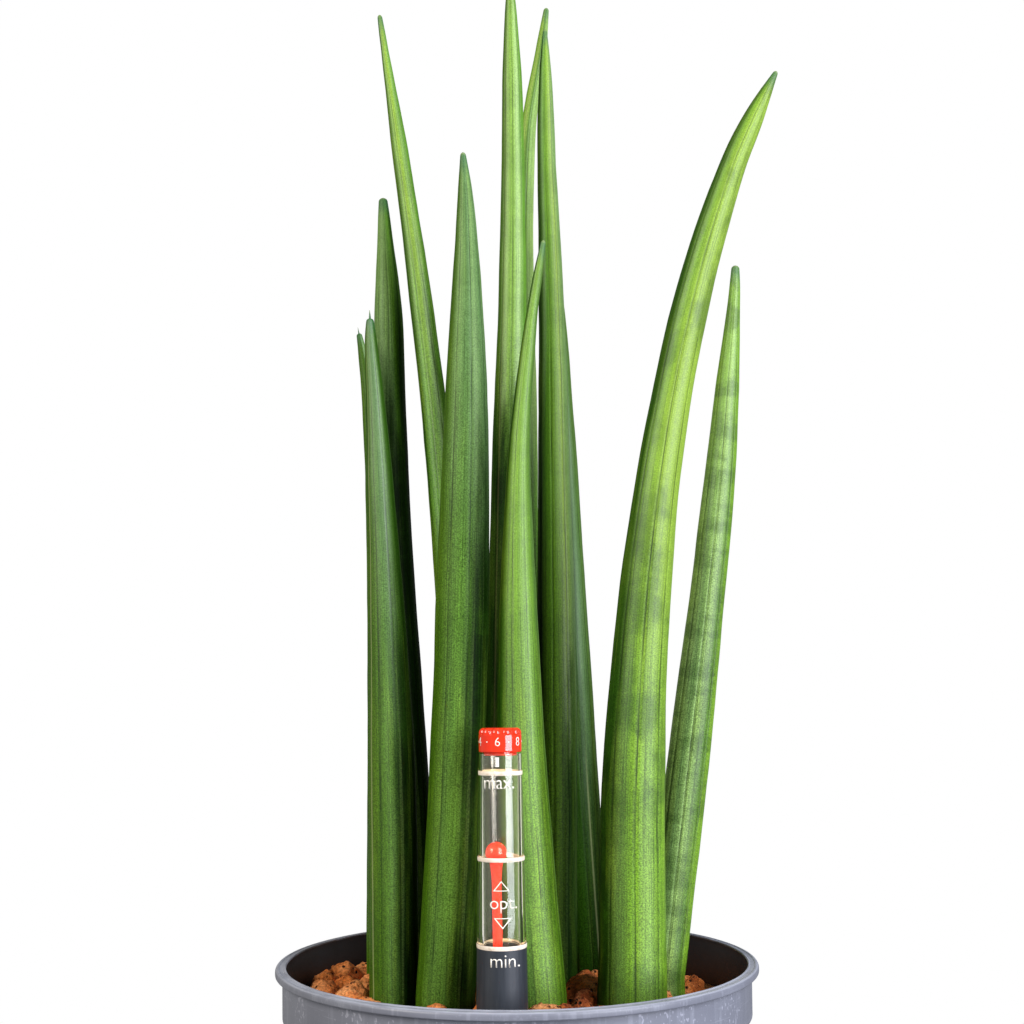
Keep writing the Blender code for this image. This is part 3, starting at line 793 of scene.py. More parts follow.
@dataclass
class CulturePot:
    """The grey culture pot: one turned wall with a rolled rim, and water slots at its foot."""

    height: float = 190.6
    rim_radius: float = 75.0
    rim_width: float = 3.3
    rim_depth: float = 2.4
    wall: float = 1.2
    collar_radius: float = 72.8
    collar_depth: float = 16.6
    collar_step: float = 1.2
    collar_draft: float = 0.2
    base_radius: float = 61.0
    base_edge: float = 1.6
    floor: float = 2.0
    slots: int = 12
    slot_width: float = 2.6
    slot_low: float = 8.0
    slot_high: float = 42.0
    slot_length: float = 14.0       # how far the slots' cutters reach through the wall
    finish: PotPlastic = PotPlastic()

    def wall_radius(self, height: float) -> float:
        """Outer radius of the wall at a height below the collar, in mm."""
        shoulder = self.height - self.collar_depth
        foot = self.collar_radius - self.collar_step - self.base_radius
        return self.base_radius + foot * height / shoulder

    def profile(self) -> Profile:
        """The pot from the middle of its inner floor, over the rim, to its underside's middle.

        Returns:
            The profile's points in mm.
        """
        shoulder = self.height - self.collar_depth
        lip = self.height - self.rim_depth
        edge, top = self.rim_radius - self.rim_width, self.height
        inner_foot = self.wall_radius(self.floor) - self.wall
        inside = [
            (0.0, self.floor),
            *arc((inner_foot - self.base_edge, self.floor + self.base_edge), self.base_edge, -90, 0, 4),
            (self.wall_radius(shoulder) - self.wall, shoulder - self.wall),
            (self.collar_radius - self.wall, shoulder + self.wall),
            (edge - 0.4, lip - 0.8),
            (edge, lip),
        ]
        rim = [
            *arc((edge + 0.3, top - 0.3), 0.3, 180, 30, 6),
            (edge + 0.7, top - 0.28), (edge + 1.9, top - 0.32), (edge + 2.05, top - 0.2),
            *arc((self.rim_radius - 1.0, top - 1.15), 1.0, 90, 0, 8),
        ]
        outside = [
            *arc((self.rim_radius - 0.45, lip + 0.45), 0.45, 0, -90, 4),
            (self.collar_radius + 0.3, lip),
            (self.collar_radius, lip - 0.3),
            *arc((self.collar_radius - self.collar_draft - 0.4, shoulder + self.collar_step + 0.4),
                 0.4, 0, -50, 3),
            (self.wall_radius(shoulder) + 0.15, shoulder + 0.3),
            (self.wall_radius(shoulder - 1.0), shoulder - 1.0),
            *arc((self.wall_radius(0) - self.base_edge, self.base_edge), self.base_edge, 0, -90, 4),
            (self.wall_radius(0) - self.base_edge - 3.0, 0.0),
            (self.wall_radius(0) - self.base_edge - 4.0, 0.5),
            (0.0, 0.5),
        ]
        return inside + rim + outside

    def build(self) -> None:
        """Turn the pot and cut its slots."""
        pot = turned("culture_pot", self.profile(), steps=144)
        size = (self.slot_length, self.slot_width, self.slot_high - self.slot_low)
        middle = (self.slot_high + self.slot_low) / 2
        cut(pot, slot_cutters(self.slots, size, self.base_radius, middle))
        hand_over(pot, self.finish.material(), 30, "root", "pot_plastic", "pot")


@dataclass(frozen=True)
class LeafForm:
    """One leaf's outline from the front and its place in depth, in mm, as the CAD has it."""

    node: str
    slot: str
    tip: tuple[float, float]                          # height, x
    depth: tuple[float, float]                        # y of the foot, y of the tip
    turn: float                                       # degrees that the ribs are turned by
    stations: tuple[tuple[float, float, float], ...]  # height, x of the middle, width
    skin: LeafSkin
    tip_width: float = 1.4
    spine: float = 0.0                                # length of the dry hair on the tip


def smooth(points: list[tuple[float, float]], at: float) -> float:
    """Read a smooth curve through points.

    Args:
        points: (place, value) pairs in order.
        at: The place to read at.

    Returns:
        The value there.
    """
    index = min(max(sum(p[0] <= at for p in points) - 1, 0), len(points) - 2)
    (p0, v0), (p1, v1) = points[index], points[index + 1]
    before, after = points[max(index - 1, 0)], points[min(index + 2, len(points) - 1)]
    slope0 = (v1 - before[1]) / (p1 - before[0])
    slope1 = (after[1] - v0) / (after[0] - p0)
    span = p1 - p0
    t = (at - p0) / span
    return ((1 + 2 * t) * (1 - t) ** 2 * v0 + t * (1 - t) ** 2 * span * slope0
            + t * t * (3 - 2 * t) * v1 + t * t * (t - 1) * span * slope1)


def clouds(name: str, kind: str, size: float) -> bpy.types.Texture:
    """A texture for a displacement, CLOUDS or VORONOI, with lumps of a size in mm."""
    texture = bpy.data.textures.new(name, kind)
    texture.noise_scale = size * MM
    return texture


def roughen(piece: Object, texture: bpy.types.Texture, coords: str, middle: float, depth: float) -> None:
    """Displace a piece along its normals by a texture.

    Args:
        piece: The piece.
        texture: The texture.
        coords: Where it is read: LOCAL or GLOBAL.
        middle: The texture's value that moves nothing.
        depth: How far its whole range moves, in mm.
    """
    apply_modifier(piece, "DISPLACE", texture=texture, texture_coords=coords, mid_level=middle,
                   strength=depth * MM)


@dataclass
class Leaf:
    """A round leaf: a ribbed ring extruded along the leaf's bend and drawn in to a hard tip."""

    form: LeafForm
    sides: int = 96
    rings: int = 56
    ribs: int = 8
    bed_line: float = 185.0
    foot_depth: float = 20.0
    lean_power: float = 1.6
    crowding: float = 1.35
    groove_share: float = 0.03
    groove_deepest: float = 0.24
    waver: float = 0.7              # how far the skin wavers in and out
    waver_length: float = 28.0
    place_radius: float = 8.0       # the straightened leaf's radius in the skin_place attribute

    def middle(self, height: float) -> Vector:
        """The point on the leaf's middle line at a height, in mm.

        Args:
            height: The height in mm.

        Returns:
            The point in mm.
        """
        level = max(height, self.bed_line)
        line = [(z, x) for z, x, _ in self.form.stations] + [self.form.tip]
        rise = (level - self.bed_line) / (self.form.tip[0] - self.bed_line)
        near, far = self.form.depth
        return Vector((smooth(line, level), near + (far - near) * rise ** self.lean_power, height))

    def width(self, height: float) -> float:
        """The leaf's thickness at a height, in mm."""
        widths = [(z, width) for z, _, width in self.form.stations]
        return smooth(widths + [(self.form.tip[0], self.form.tip_width)], max(height, self.bed_line))

    def lean(self, height: float) -> tuple[float, float]:
        """How far the leaf leans at a height: its angles about X and about Y, in radians.

        Args:
            height: The height in mm.

        Returns:
            The two angles.
        """
        if height < self.bed_line:
            return 0.0, 0.0
        low, high = max(height - 1.0, self.bed_line), min(height + 1.0, self.form.tip[0])
        way = self.middle(high) - self.middle(low)
        return -math.atan2(way.y, way.z), math.atan2(way.x, way.z)

    @property
    def tip_rise(self) -> tuple[tuple[float, float], ...]:
        """Rings of the tip: how far each is above the last height and its share of that width.

        Returns:
            A rise in mm and a share for each ring; a share of 0 closes the tip.
        """
        spine = self.form.spine
        if not spine:
            return (0.5, 0.86), (0.9, 0.55), (1.2, 0.0)
        return (0.4, 0.8), (0.7, 0.3), (0.7 + spine * 0.5, 0.2), (0.7 + spine, 0.1), (0.8 + spine, 0.0)

    @property
    def last_height(self) -> float:
        """Where the rings of the tip start, in mm."""
        return self.form.tip[0] - self.tip_rise[-1][0]

    def heights(self) -> list[float]:
        """Heights of the rings, closer together towards the tip."""
        rise = self.last_height - self.bed_line
        steps = [1 - (1 - i / self.rings) ** self.crowding for i in range(self.rings + 1)]
        return [self.bed_line - self.foot_depth] + [self.bed_line + rise * step for step in steps]

    def press_grooves(self, piece: Object, centre: Vector) -> None:
        """In edit mode, draw in the first ring where a groove runs, then select the ring.

        Args:
            piece: The leaf, which is one ring so far.
            centre: The ring's centre in metres.
        """
        step = 360 / self.ribs
        radius = self.width(self.bed_line) / 2
        depth = min(self.groove_share * radius * 2, self.groove_deepest)

        def in_groove(place: Vector) -> bool:
            angle = math.degrees(math.atan2(place.y - centre.y, place.x - centre.x)) - self.form.turn
            return abs((angle + step / 2) % step - step / 2) < 1.0

        select_where(piece, in_groove)
        share = 1 - depth / radius
        bpy.ops.transform.resize(value=(share, share, 1.0), center_override=centre)
        bpy.ops.mesh.select_all(action="SELECT")

    def draw_out(self, heights: list[float]) -> None:
        """In edit mode, extrude the selected ring through a list of heights up to the tip.

        Args:
            heights: The rings' heights in mm, the selected one's first.
        """
        lean = self.lean(heights[0])
        for low, high in zip(heights, heights[1:]):
            place = self.middle(high) * MM
            move = {"value": place - self.middle(low) * MM}
            bpy.ops.mesh.extrude_region_move(TRANSFORM_OT_translate=move)
            tilt = self.lean(high)
            for axis, old, new in zip("XY", lean, tilt):
                bpy.ops.transform.rotate(value=old - new, orient_axis=axis, center_override=place)
            share = self.width(high) / self.width(low)
            bpy.ops.transform.resize(value=(share,) * 3, center_override=place)
            lean = tilt

    def close_tip(self) -> None:
        """In edit mode, round the last ring off to a hard point."""
        top = self.last_height
        way = (self.middle(top) - self.middle(top - 1.0)).normalized()
        last, size = 0.0, 1.0
        for rise, share in self.tip_rise:
            place = (self.middle(top) + way * rise) * MM
            bpy.ops.mesh.extrude_region_move(TRANSFORM_OT_translate={"value": way * (rise - last) * MM})
            if share:
                bpy.ops.transform.resize(value=(share / size,) * 3, center_override=place)
            else:
                bpy.ops.mesh.merge(type="CENTER")
            last, size = rise, share or 1.0

    def mark_skin(self, piece: Object, heights: list[float]) -> None:
        """Note each point's place on the straightened leaf and the marks the skin reads.

        Args:
            piece: The leaf.
            heights: The rings' heights in mm.
        """
        places, marks = [], []
        travelled, lengths = 0.0, []
        line = [self.middle(height) for height in heights]
        for before, here in zip([line[0]] + line, line):
            travelled += (here - before).length
            lengths.append(travelled)
        total = lengths[-1] + self.tip_rise[-1][0]
        lengths += [lengths[-1] + rise for rise, share in self.tip_rise if share]
        for index in range(len(piece.data.vertices)):
            ring, side = divmod(index, self.sides)
            if ring >= len(lengths):
                places.append((0.0, 0.0, total))
                marks.append((0.0, 0.0, 0.0))
                continue
            angle = math.radians(90 + self.form.turn + 360 * side / self.sides)
            places.append((self.place_radius * math.cos(angle), self.place_radius * math.sin(angle),
                           lengths[ring] - self.foot_depth))
            groove = 1.0 if side % (self.sides // self.ribs) == self.groove_side else 0.0
            marks.append((groove, total - lengths[ring], 0.0))
        for name, values in (("skin_place", places), ("skin_marks", marks)):
            attribute = piece.data.attributes.new(name, "FLOAT_VECTOR", "POINT")
            attribute.data.foreach_set("vector", [value for triple in values for value in triple])

    @property
    def groove_side(self) -> int:
        """Which side of a ring, counted within a rib, has the groove: the ring starts at +Y."""
        step = 360 / self.ribs
        return round((-90 % step) / 360 * self.sides) % (self.sides // self.ribs)

    def build(self) -> None:
        """Model the leaf."""
        node = self.form.node
        heights = self.heights()
        foot = self.middle(heights[0]) * MM
        deselect_all()
        bpy.ops.mesh.primitive_circle_add(vertices=self.sides, radius=self.width(heights[0]) / 2 * MM,
                                          location=foot, rotation=(0.0, 0.0, math.radians(self.form.turn)))
        piece = bpy.context.object
        piece.name = piece.data.name = node + "_skin"
        settle(piece)
        with editing(piece):
            self.press_grooves(piece, foot)
            self.draw_out(heights)
            self.close_tip()
        self.mark_skin(piece, heights)
        with editing(piece):
            select_where(piece, lambda place: place.z < foot.z + MM)
            bpy.ops.mesh.edge_face_add()
            bpy.ops.mesh.select_all(action="SELECT")
            bpy.ops.mesh.normals_make_consistent(inside=False)
        roughen(piece, clouds(node + "_waver", "CLOUDS", self.waver_length), "LOCAL", 0.5, self.waver)
        material = self.form.skin.material(node.replace("leaf", "leaf_skin", 1))
        hand_over(piece, material, 70, "root", self.form.slot, node)


@dataclass(frozen=True)
class Pebble:
    """Where one pebble lies, in mm and radians."""

    place: tuple[float, float, float]
    size: float
    stretch: tuple[float, float, float]
    turn: tuple[float, float, float]


@dataclass
class ClayBed:
    """The bed: pebbles of expanded clay on a packed core that shows through the pot's slots."""

    top: float = 178.5
    crown: float = 1.5
    edge_radius: float = 72.8
    wall: float = 1.2
    gap: float = 0.35
    sizes: tuple[float, float] = (5.4, 8.2)         # smallest and largest radius
    tries: int = 2600
    spacing: float = 0.93
    seed: int = 15
    plain_points: int = 42                          # a plain pebble's points, each one draw in the CAD
    clearance: float = 1.3
    gauge: tuple[float, float, float] = (-4.2, -52.0, 7.2)
    chosen: tuple[tuple[float, float, float], ...] = (
        (-49.5, -17.0, 7.4), (-60.0, -4.0, 6.2), (-54.0, 7.0, 6.0), (-61.5, 11.0, 5.2),
        (-58.0, -19.5, 5.4), (21.5, -8.0, 8.0), (20.5, -21.5, 5.0), (22.0, -42.0, 5.0),
        (34.5, -44.0, 4.6), (55.0, -11.0, 5.6), (63.5, -1.5, 5.4), (-14.0, -47.0, 4.6))
    least_stretch: tuple[float, float, float] = (0.88, 0.88, 0.8)
    tilt: float = 0.3                               # how far a top pebble tips, in radians
    unevenness: float = 1.6                         # how far the top pebbles rise over the bed
    low_layer: int = 170
    low_sizes: tuple[float, float] = (3.4, 5.0)
    low_rise: tuple[float, float] = (-1.5, 1.0)
    low_stretch: tuple[float, float, float] = (1.0, 0.92, 0.85)
    front_dip: tuple[float, float] = (-44.0, 4.2)   # the bed is lower in front of this y, by this much
    right_dip: tuple[float, float, float] = (36.0, 14.0, 4.6)  # from this x, over this length, by this much
    master_size: float = 6.5
    masters: int = 6
    lump: tuple[float, float, float] = (5.5, 0.58, 3.4)  # length, level that stays and depth
    chip: tuple[float, float, float] = (2.6, 0.5, 1.3)
    core_drop: float = 2.6                          # how far the packed clay lies under the bed
    finish: ExpandedClay = ExpandedClay()

    def surface(self, distance: float) -> float:
        """Height of the bed at a distance from the middle, in mm."""
        return self.top + self.crown * (1 - (distance / self.edge_radius) ** 2)

    def sunk(self, x: float, y: float) -> float:
        """How much lower the bed lies in front and at the right, in mm."""
        front, drop = self.front_dip
        right, length, depth = self.right_dip
        return drop * (y < front) + depth * min(max((x - right) / length, 0.0), 1.0)

    def taken(self, forms: list[LeafForm]) -> list[tuple[float, float, float]]:
        """Circles that no pebble's middle may lie in: x, y and radius in mm."""
        feet = [(form.stations[0][1], form.depth[0], form.stations[0][2] / 2) for form in forms]
        return [(x, y, radius + self.clearance) for x, y, radius in [self.gauge, *feet]]

    def drop(self, rng: random.Random, sizes: tuple[float, float],
             reach: float) -> tuple[float, float, float]:
        """Draw a pebble's x, y and size, of a range of sizes and within a reach, in mm.

        Args:
            rng: Gives the draws.
            sizes: The smallest and the largest size.
            reach: How far out a pebble may reach.

        Returns:
            The pebble's x, y and size.
        """
        size = rng.uniform(*sizes)
        distance = (reach - size) * math.sqrt(rng.random())
        angle = rng.uniform(0.0, math.tau)
        return distance * math.cos(angle), distance * math.sin(angle), size

    def places(self, rng: random.Random, forms: list[LeafForm]) -> list[tuple[float, float, float]]:
        """Where the CAD's pebbles lie, by the same draws: x, y and size in mm.

        Args:
            rng: Gives the draws.
            forms: The leaves that they stand clear of.

        Returns:
            The pebbles' x, y and size.
        """
        places = list(self.chosen)
        taken = self.taken(forms)
        for _ in range(self.tries):
            x, y, size = self.drop(rng, self.sizes, self.edge_radius - self.wall - 3 * self.gap)
            if (all(math.hypot(x - cx, y - cy) > radius for cx, cy, radius in taken)
                    and all(math.hypot(x - px, y - py) > self.spacing * (size + other)
                            for px, py, other in places)):
                places.append((x, y, size))
        return places

    def top_pebbles(self, forms: list[LeafForm]) -> list[Pebble]:
        """The CAD's pebbles, each with the same place, stretch and turn.

        Args:
            forms: The leaves that they stand clear of.

        Returns:
            The pebbles.
        """
        rng = random.Random(self.seed)
        pebbles = []
        for x, y, size in self.places(rng, forms):
            stretch = tuple(rng.uniform(low, 1.0) for low in self.least_stretch)
            turn = (rng.uniform(-self.tilt, self.tilt), rng.uniform(-self.tilt, self.tilt),
                    rng.uniform(0.0, math.tau))
            for _ in range(self.plain_points):
                rng.random()
            height = self.surface(math.hypot(x, y)) + rng.uniform(0.0, self.unevenness) - self.sunk(x, y)
            pebbles.append(Pebble((x, y, height), size * 0.98, stretch, turn))
        return pebbles

    def under_pebbles(self, rng: random.Random) -> list[Pebble]:
        """Smaller pebbles that fill the gaps between the top ones.

        Args:
            rng: Gives the draws.

        Returns:
            The pebbles.
        """
        pebbles = []
        for _ in range(self.low_layer):
            x, y, size = self.drop(rng, self.low_sizes, self.edge_radius - self.wall - self.gap)
            height = self.surface(math.hypot(x, y)) + rng.uniform(*self.low_rise) - self.sunk(x, y)
            turn = tuple(rng.uniform(0.0, math.tau) for _ in range(3))
            pebbles.append(Pebble((x, y, height), size, self.low_stretch, turn))
        return pebbles

    def master_pebbles(self, name: str, detail: int) -> list[Object]:
        """Model a few different pebbles, lumpy and pitted, round the origin.

        Args:
            name: What their names start with.
            detail: How finely the sphere that they start from is divided.

        Returns:
            The pebbles.
        """
        layers = [(clouds(name + "_lumps", "CLOUDS", self.lump[0]), self.lump),
                  (clouds(name + "_chips", "VORONOI", self.chip[0]), self.chip)]
        masters = []
        for index in range(self.masters):
            deselect_all()
            bpy.ops.mesh.primitive_ico_sphere_add(subdivisions=detail, radius=self.master_size * MM,
                                                  location=(0.05 * index, 0.0, 0.03 * index))
            master = bpy.context.object
            master.name = f"{name}_{index + 1}"
            for texture, (_, level, depth) in layers:
                roughen(master, texture, "GLOBAL", level, depth)
            master.location = (0.0, 0.0, 0.0)
            masters.append(master)
        return masters

    def lay(self, name: str, pebbles: list[Pebble], detail: int, rng: random.Random) -> Object:
        """Lay copies of the master pebbles and join them.

        Args:
            name: The joined piece's name.
            pebbles: Where they lie.
            detail: How finely the masters are divided.
            rng: Picks a master for each place.

        Returns:
            The layer of pebbles.
        """
        masters = self.master_pebbles(name + "_master", detail)
        stones = []
        for pebble in pebbles:
            stone = copy_of(rng.choice(masters))
            stone.location = [value * MM for value in pebble.place]
            stone.rotation_euler = pebble.turn
            stone.scale = [pebble.size / self.master_size * side for side in pebble.stretch]
            stones.append(stone)
        for master in masters:
            bpy.data.objects.remove(master)
        return join(name, stones)

    def core(self, pot: CulturePot) -> Object:
        """The packed clay under the pebbles, a gap inside the pot, with a hole for the gauge.

        Args:
            pot: The pot that it fills.

        Returns:
            The core.
        """
        shoulder = pot.height - pot.collar_depth
        inset = self.wall + 2 * self.gap
        edge = self.edge_radius - self.wall - 2 * self.gap
        wall = pot.wall_radius(shoulder) - inset
        foot = pot.wall_radius(pot.floor + pot.base_edge) - inset
        high, low = shoulder - self.wall, pot.floor + pot.base_edge + self.gap
        sides = [(wall + (foot - wall) * step / 24, high + (low - high) * step / 24) for step in range(25)]
        rise = [(edge * step / 12, self.surface(edge * step / 12) - self.core_drop) for step in range(13)]
        under = pot.floor + self.gap
        core = turned("packed_clay", [
            *rise, (edge, shoulder + self.wall + self.gap), *sides, (foot - pot.base_edge, under),
            (0.0, under)], steps=144)
        x, y, radius = self.gauge
        deselect_all()
        bpy.ops.mesh.primitive_cylinder_add(vertices=48, radius=(radius + self.gap) * MM, depth=0.5,
                                            location=(x * MM, y * MM, 0.1))
        cut(core, [bpy.context.object])
        return core

    def build(self, pot: CulturePot, forms: list[LeafForm]) -> None:
        """Lay the bed: the top pebbles, those under them and the core.

        Args:
            pot: The pot that it fills.
            forms: The leaves that stand in it.
        """
        rng = random.Random(self.seed + 1)
        top = self.lay("clay_pebbles_top", self.top_pebbles(forms), 4, rng)
        under = self.lay("clay_pebbles_under", self.under_pebbles(rng), 3, rng)
        core = self.core(pot)
        material = self.finish.material()
        hand_over(top, material, 60, "root", "expanded_clay", "clay_pebbles")
        hand_over(under, material, 60, "root", "expanded_clay")
        hand_over(core, material, 40, "root", "expanded_clay")


@dataclass
class WaterGauge:
    """The float gauge: a dark tube, a clear tube with its printed scale, a rod and a dial."""

    axis: tuple[float, float] = (-4.2, -52.0)
    housing_top: float = 203.3
    housing_top_radius: float = 6.95
    housing_radius: float = 7.2
    taper_height: float = 186.0
    bore: float = 5.8
    bottom: float = 2.35
    floor: float = 1.8
    chamfer: float = 0.8
    slots: int = 4
    slot_size: tuple[float, float, float] = (3.6, 2.0, 24.0)
    socket_depth: float = 7.0
    socket_radius: float = 6.3
    gap: float = 0.35
    window_top: float = 256.3
    window_top_radius: float = 6.1
    window_wall: float = 0.9
    dial_top: float = 263.5
    dial_radius: float = 6.1
    dial_plug: float = 4.7                              # radius of the plug that sits in the tube
    dial_shoulder: tuple[float, float] = (1.5, 1.85)    # across and down
    lobes: int = 10
    lobe_radius: float = 1.45
    lobe_start: float = -103.5                          # the first lobe's angle in degrees
    dial_turn: float = -6.5
    ball_height: float = 228.7
    ball_radius: float = 3.05
    rod_neck: Profile = ((1.85, 3.1), (1.68, 4.4), (1.5, 6.0))  # radii, and how far under the ball
    rod_radius: float = 1.38
    rod_lean: float = 1.4
    float_top: float = 104.0
    rod_seat: float = 90.0
    ring_heights: tuple[float, ...] = (250.9, 227.35, 203.75)
    ring_height: float = 1.15
    ring_proud: float = 0.09
    ink_lift: float = 0.03                              # how far the print is let into the tube
    ink_thickness: float = 0.07
    print_away: float = 12.0                            # how far in front of the axis flat prints start
    words: tuple[tuple[str, float, float, float, float], ...] = (    # see word
        ("max.", 5.3, -4.54, 246.75, 8.3), ("opt.", 4.9, -3.57, 214.35, 7.4),
        ("min.", 5.2, -3.25, 198.8, 8.0))
    triangles: tuple[tuple[float, float, float, float, bool], ...] = (    # see triangle
        (-4.13, 219.1, 4.6, 2.75, True), (-3.8, 209.0, 4.9, 2.9, False))
    pointer: tuple[float, float, float, float] = (-4.98, 254.05, 0.95, 2.6)    # x, z, width, height
    months: int = 12
    number: tuple[float, float] = (3.55, 258.45)        # size of the digits, and where they stand
    dot: tuple[float, float] = (0.2, 259.6)             # radius and height
    dark: GaugePlastic = GaugePlastic("slate_polystyrene", "#242930", "#3A4148", 0.5, 0.12)
    red: GaugePlastic = GaugePlastic("signal_red_polystyrene", "#E63012", "#EC4628", 0.09, 0.03, 1.65)
    clear: ClearPolystyrene = ClearPolystyrene()
    ink: PadPrintInk = PadPrintInk()
    # The rings' cream ink is a darker copy of the white ink: painted shade on the rings
    ring_ink: PadPrintInk = PadPrintInk("pad_print_shaded_cream", "#EBDDCB", "#D2BFA6")
    foam: FloatFoam = FloatFoam()

    def window_radius(self, height: float) -> float:
        """Outer radius of the clear tube at a height, in mm."""
        share = (height - self.housing_top) / (self.window_top - self.housing_top)
        return self.housing_top_radius + (self.window_top_radius - self.housing_top_radius) * share

    def build_housing(self) -> None:
        """The dark tube, open at the top, with water slots at its foot."""
        inner, top, lip = self.bottom + self.floor, self.housing_top, self.housing_top_radius
        seat = top - self.socket_depth
        housing = turned("gauge_tube_dark", [
            (0.0, inner), (self.bore - 0.5, inner), (self.bore, inner + 0.5), (self.bore, seat),
            (self.socket_radius, seat + 0.1), (self.socket_radius, top - 0.15),
            (self.socket_radius + 0.15, top), (lip - 0.15, top), (lip, top - 0.15),
            (self.housing_radius, self.taper_height),
            (self.housing_radius, self.bottom + self.chamfer),
            (self.housing_radius - self.chamfer, self.bottom), (0.0, self.bottom)], axis=self.axis)
        middle = inner + self.chamfer + self.slot_size[2] / 2
        cut(housing, slot_cutters(self.slots, self.slot_size, self.housing_radius - 0.8, middle, self.axis))
        hand_over(housing, self.dark.material(), 30, "root", "gauge_dark", "gauge_housing")

    def build_window(self) -> None:
        """The clear tube, with a spigot that stands in the housing's socket."""
        foot, top, outer = self.housing_top + self.gap, self.window_top, self.window_top_radius
        end = self.housing_top - self.socket_depth + self.gap
        spigot = self.socket_radius - self.gap
        profile = [
            (outer + 0.05, top - 0.06), (outer + 0.05, top - 0.25), (outer, top - 0.4),
            (outer + 0.005, top - 0.6), (self.window_radius(foot + 0.4), foot + 0.4),
            (self.window_radius(foot), foot + 0.15), (self.window_radius(foot) - 0.15, foot), (spigot, foot),
            (spigot, end + 0.2), (spigot - 0.2, end), (spigot - self.window_wall, end),
            (spigot - self.window_wall, foot + 2.0), (outer - self.window_wall, top), (outer - 0.05, top)]
        window = turned("gauge_tube_clear", profile + profile[:1], axis=self.axis)
        hand_over(window, self.clear.material(), 30, "root", "gauge_clear", "gauge_window")

    def build_dial(self) -> Object:
        """Model the red dial: a cap whose shoulder is a ring of round grip lobes.

        Returns:
            The dial.
        """
        foot, plug_radius = self.window_top + self.gap, self.dial_plug
        radius, top = self.dial_radius, self.dial_top
        across, down = self.dial_shoulder
        shoulder = [(radius - 0.75 - across * (1 - out), top - 0.03 - (down - 0.03) * (1 - up))
                    for out, up in arc((0.0, 0.0), 1.0, 90, 0, 12)]
        parts = [turned("month_dial", [
            (0.0, top - 0.03), *shoulder,
            (radius - 0.16, top - down - 0.02), (radius, top - down - 0.2), (radius, top - down - 0.3),
            (radius, foot + 0.5), (radius, foot + 0.4), (radius - 0.1, foot + 0.12), (radius - 0.3, foot),
            (plug_radius, foot), (plug_radius, foot - 0.6), (plug_radius - 0.3, foot - 0.8),
            (0.0, foot - 0.8)], axis=self.axis)]
        for index in range(self.lobes):
            angle = math.tau * index / self.lobes + math.radians(self.lobe_start)
            place = around(self.axis, radius - self.lobe_radius - 0.06, angle, top - 0.05 - self.lobe_radius)
            bpy.ops.mesh.primitive_uv_sphere_add(segments=32, ring_count=20, radius=self.lobe_radius * MM,
                                                 location=place)
            parts.append(bpy.context.object)
        dial = join("month_dial", parts)
        hand_over(dial, self.red.material(), 30, "dial", "signal_red", "dial_cap")
        return dial

    def build_rod(self) -> None:
        """The red rod with its ball, leaning a little in the tube."""
        ball, thin, seat = self.ball_height, self.rod_radius, self.rod_seat + self.gap
        rod = turned("float_indicator", [
            (0.0, ball + self.ball_radius), *arc((0.0, ball), self.ball_radius, 90, -50, 16)[1:],
            *((radius, ball - down) for radius, down in self.rod_neck),
            *((thin, ball - 8.0 - step * 10.0) for step in range(13)), (thin, seat), (0.0, seat)],
            steps=32, axis=self.axis)
        lean = math.atan(self.rod_lean / (ball - self.float_top))
        with editing(rod):
            bpy.ops.transform.rotate(value=lean, orient_axis="Y",
                                     center_override=around(self.axis, 0.0, 0.0, self.float_top))
        hand_over(rod, self.red.material(), 50, "float", "signal_red", "float_rod")

    def build_rings(self) -> None:
        """The three printed rings round the clear tube."""
        rings = []
        for height in self.ring_heights:
            low, high = height - self.ring_height / 2, height + self.ring_height / 2
            outer = self.window_radius(height) + self.ring_proud
            inner = self.window_radius(low) + 0.01
            rings.append(turned("ring", [
                (inner, low), (outer - 0.08, low), (outer, low + 0.2), (outer, high - 0.2),
                (outer - 0.08, high), (inner, high), (inner, low)], axis=self.axis))
        # The rings take the darker cream ink, their painted shade
        hand_over(join("scale_rings", rings), self.ring_ink.material(), 50, "root")

    def in_front(self, piece: Object, x: float, z: float, turn: float = math.pi / 2) -> Object:
        """Stand a flat piece in front of the gauge, at x and z in mm.

        Args:
            piece: The piece.
            x: Where its middle is in mm.
            z: Its height in mm.
            turn: The angle in radians that it is stood up by.

        Returns:
            The piece.
        """
        piece.location = (x * MM, (self.axis[1] - self.print_away) * MM, z * MM)
        piece.rotation_euler.x = turn
        settle(piece)
        return piece

    def wrap(self, flat: Object, onto: Object, turn: float = 0.0) -> Object:
        """Lay a flat print that stands in front of the gauge round a tube.

        Args:
            flat: A flat mesh that faces the front.
            onto: The piece that it is printed on.
            turn: Degrees that the print is then turned round the axis by, to the right.

        Returns:
            The print, a hair thick.
        """
        with editing(flat):
            for step in range(-12, 13):
                bpy.ops.mesh.select_all(action="SELECT")
                bpy.ops.mesh.bisect(plane_co=((self.axis[0] + step * 0.45) * MM, 0.0, 0.0),
                                    plane_no=(1.0, 0.0, 0.0))
            bpy.ops.mesh.select_all(action="SELECT")
            bpy.ops.mesh.quads_convert_to_tris()
        apply_modifier(flat, "SHRINKWRAP", target=onto, wrap_method="PROJECT",
                       use_project_x=False, use_project_y=True, use_project_z=False,
                       use_negative_direction=False, use_positive_direction=True, offset=self.ink_lift * MM)
        apply_modifier(flat, "SOLIDIFY", thickness=self.ink_thickness * MM, offset=1.0)
        if turn:
            with editing(flat):
                bpy.ops.transform.rotate(value=-math.radians(turn), orient_axis="Z",
                                         center_override=around(self.axis, 0.0, 0.0, 0.0))
        return flat

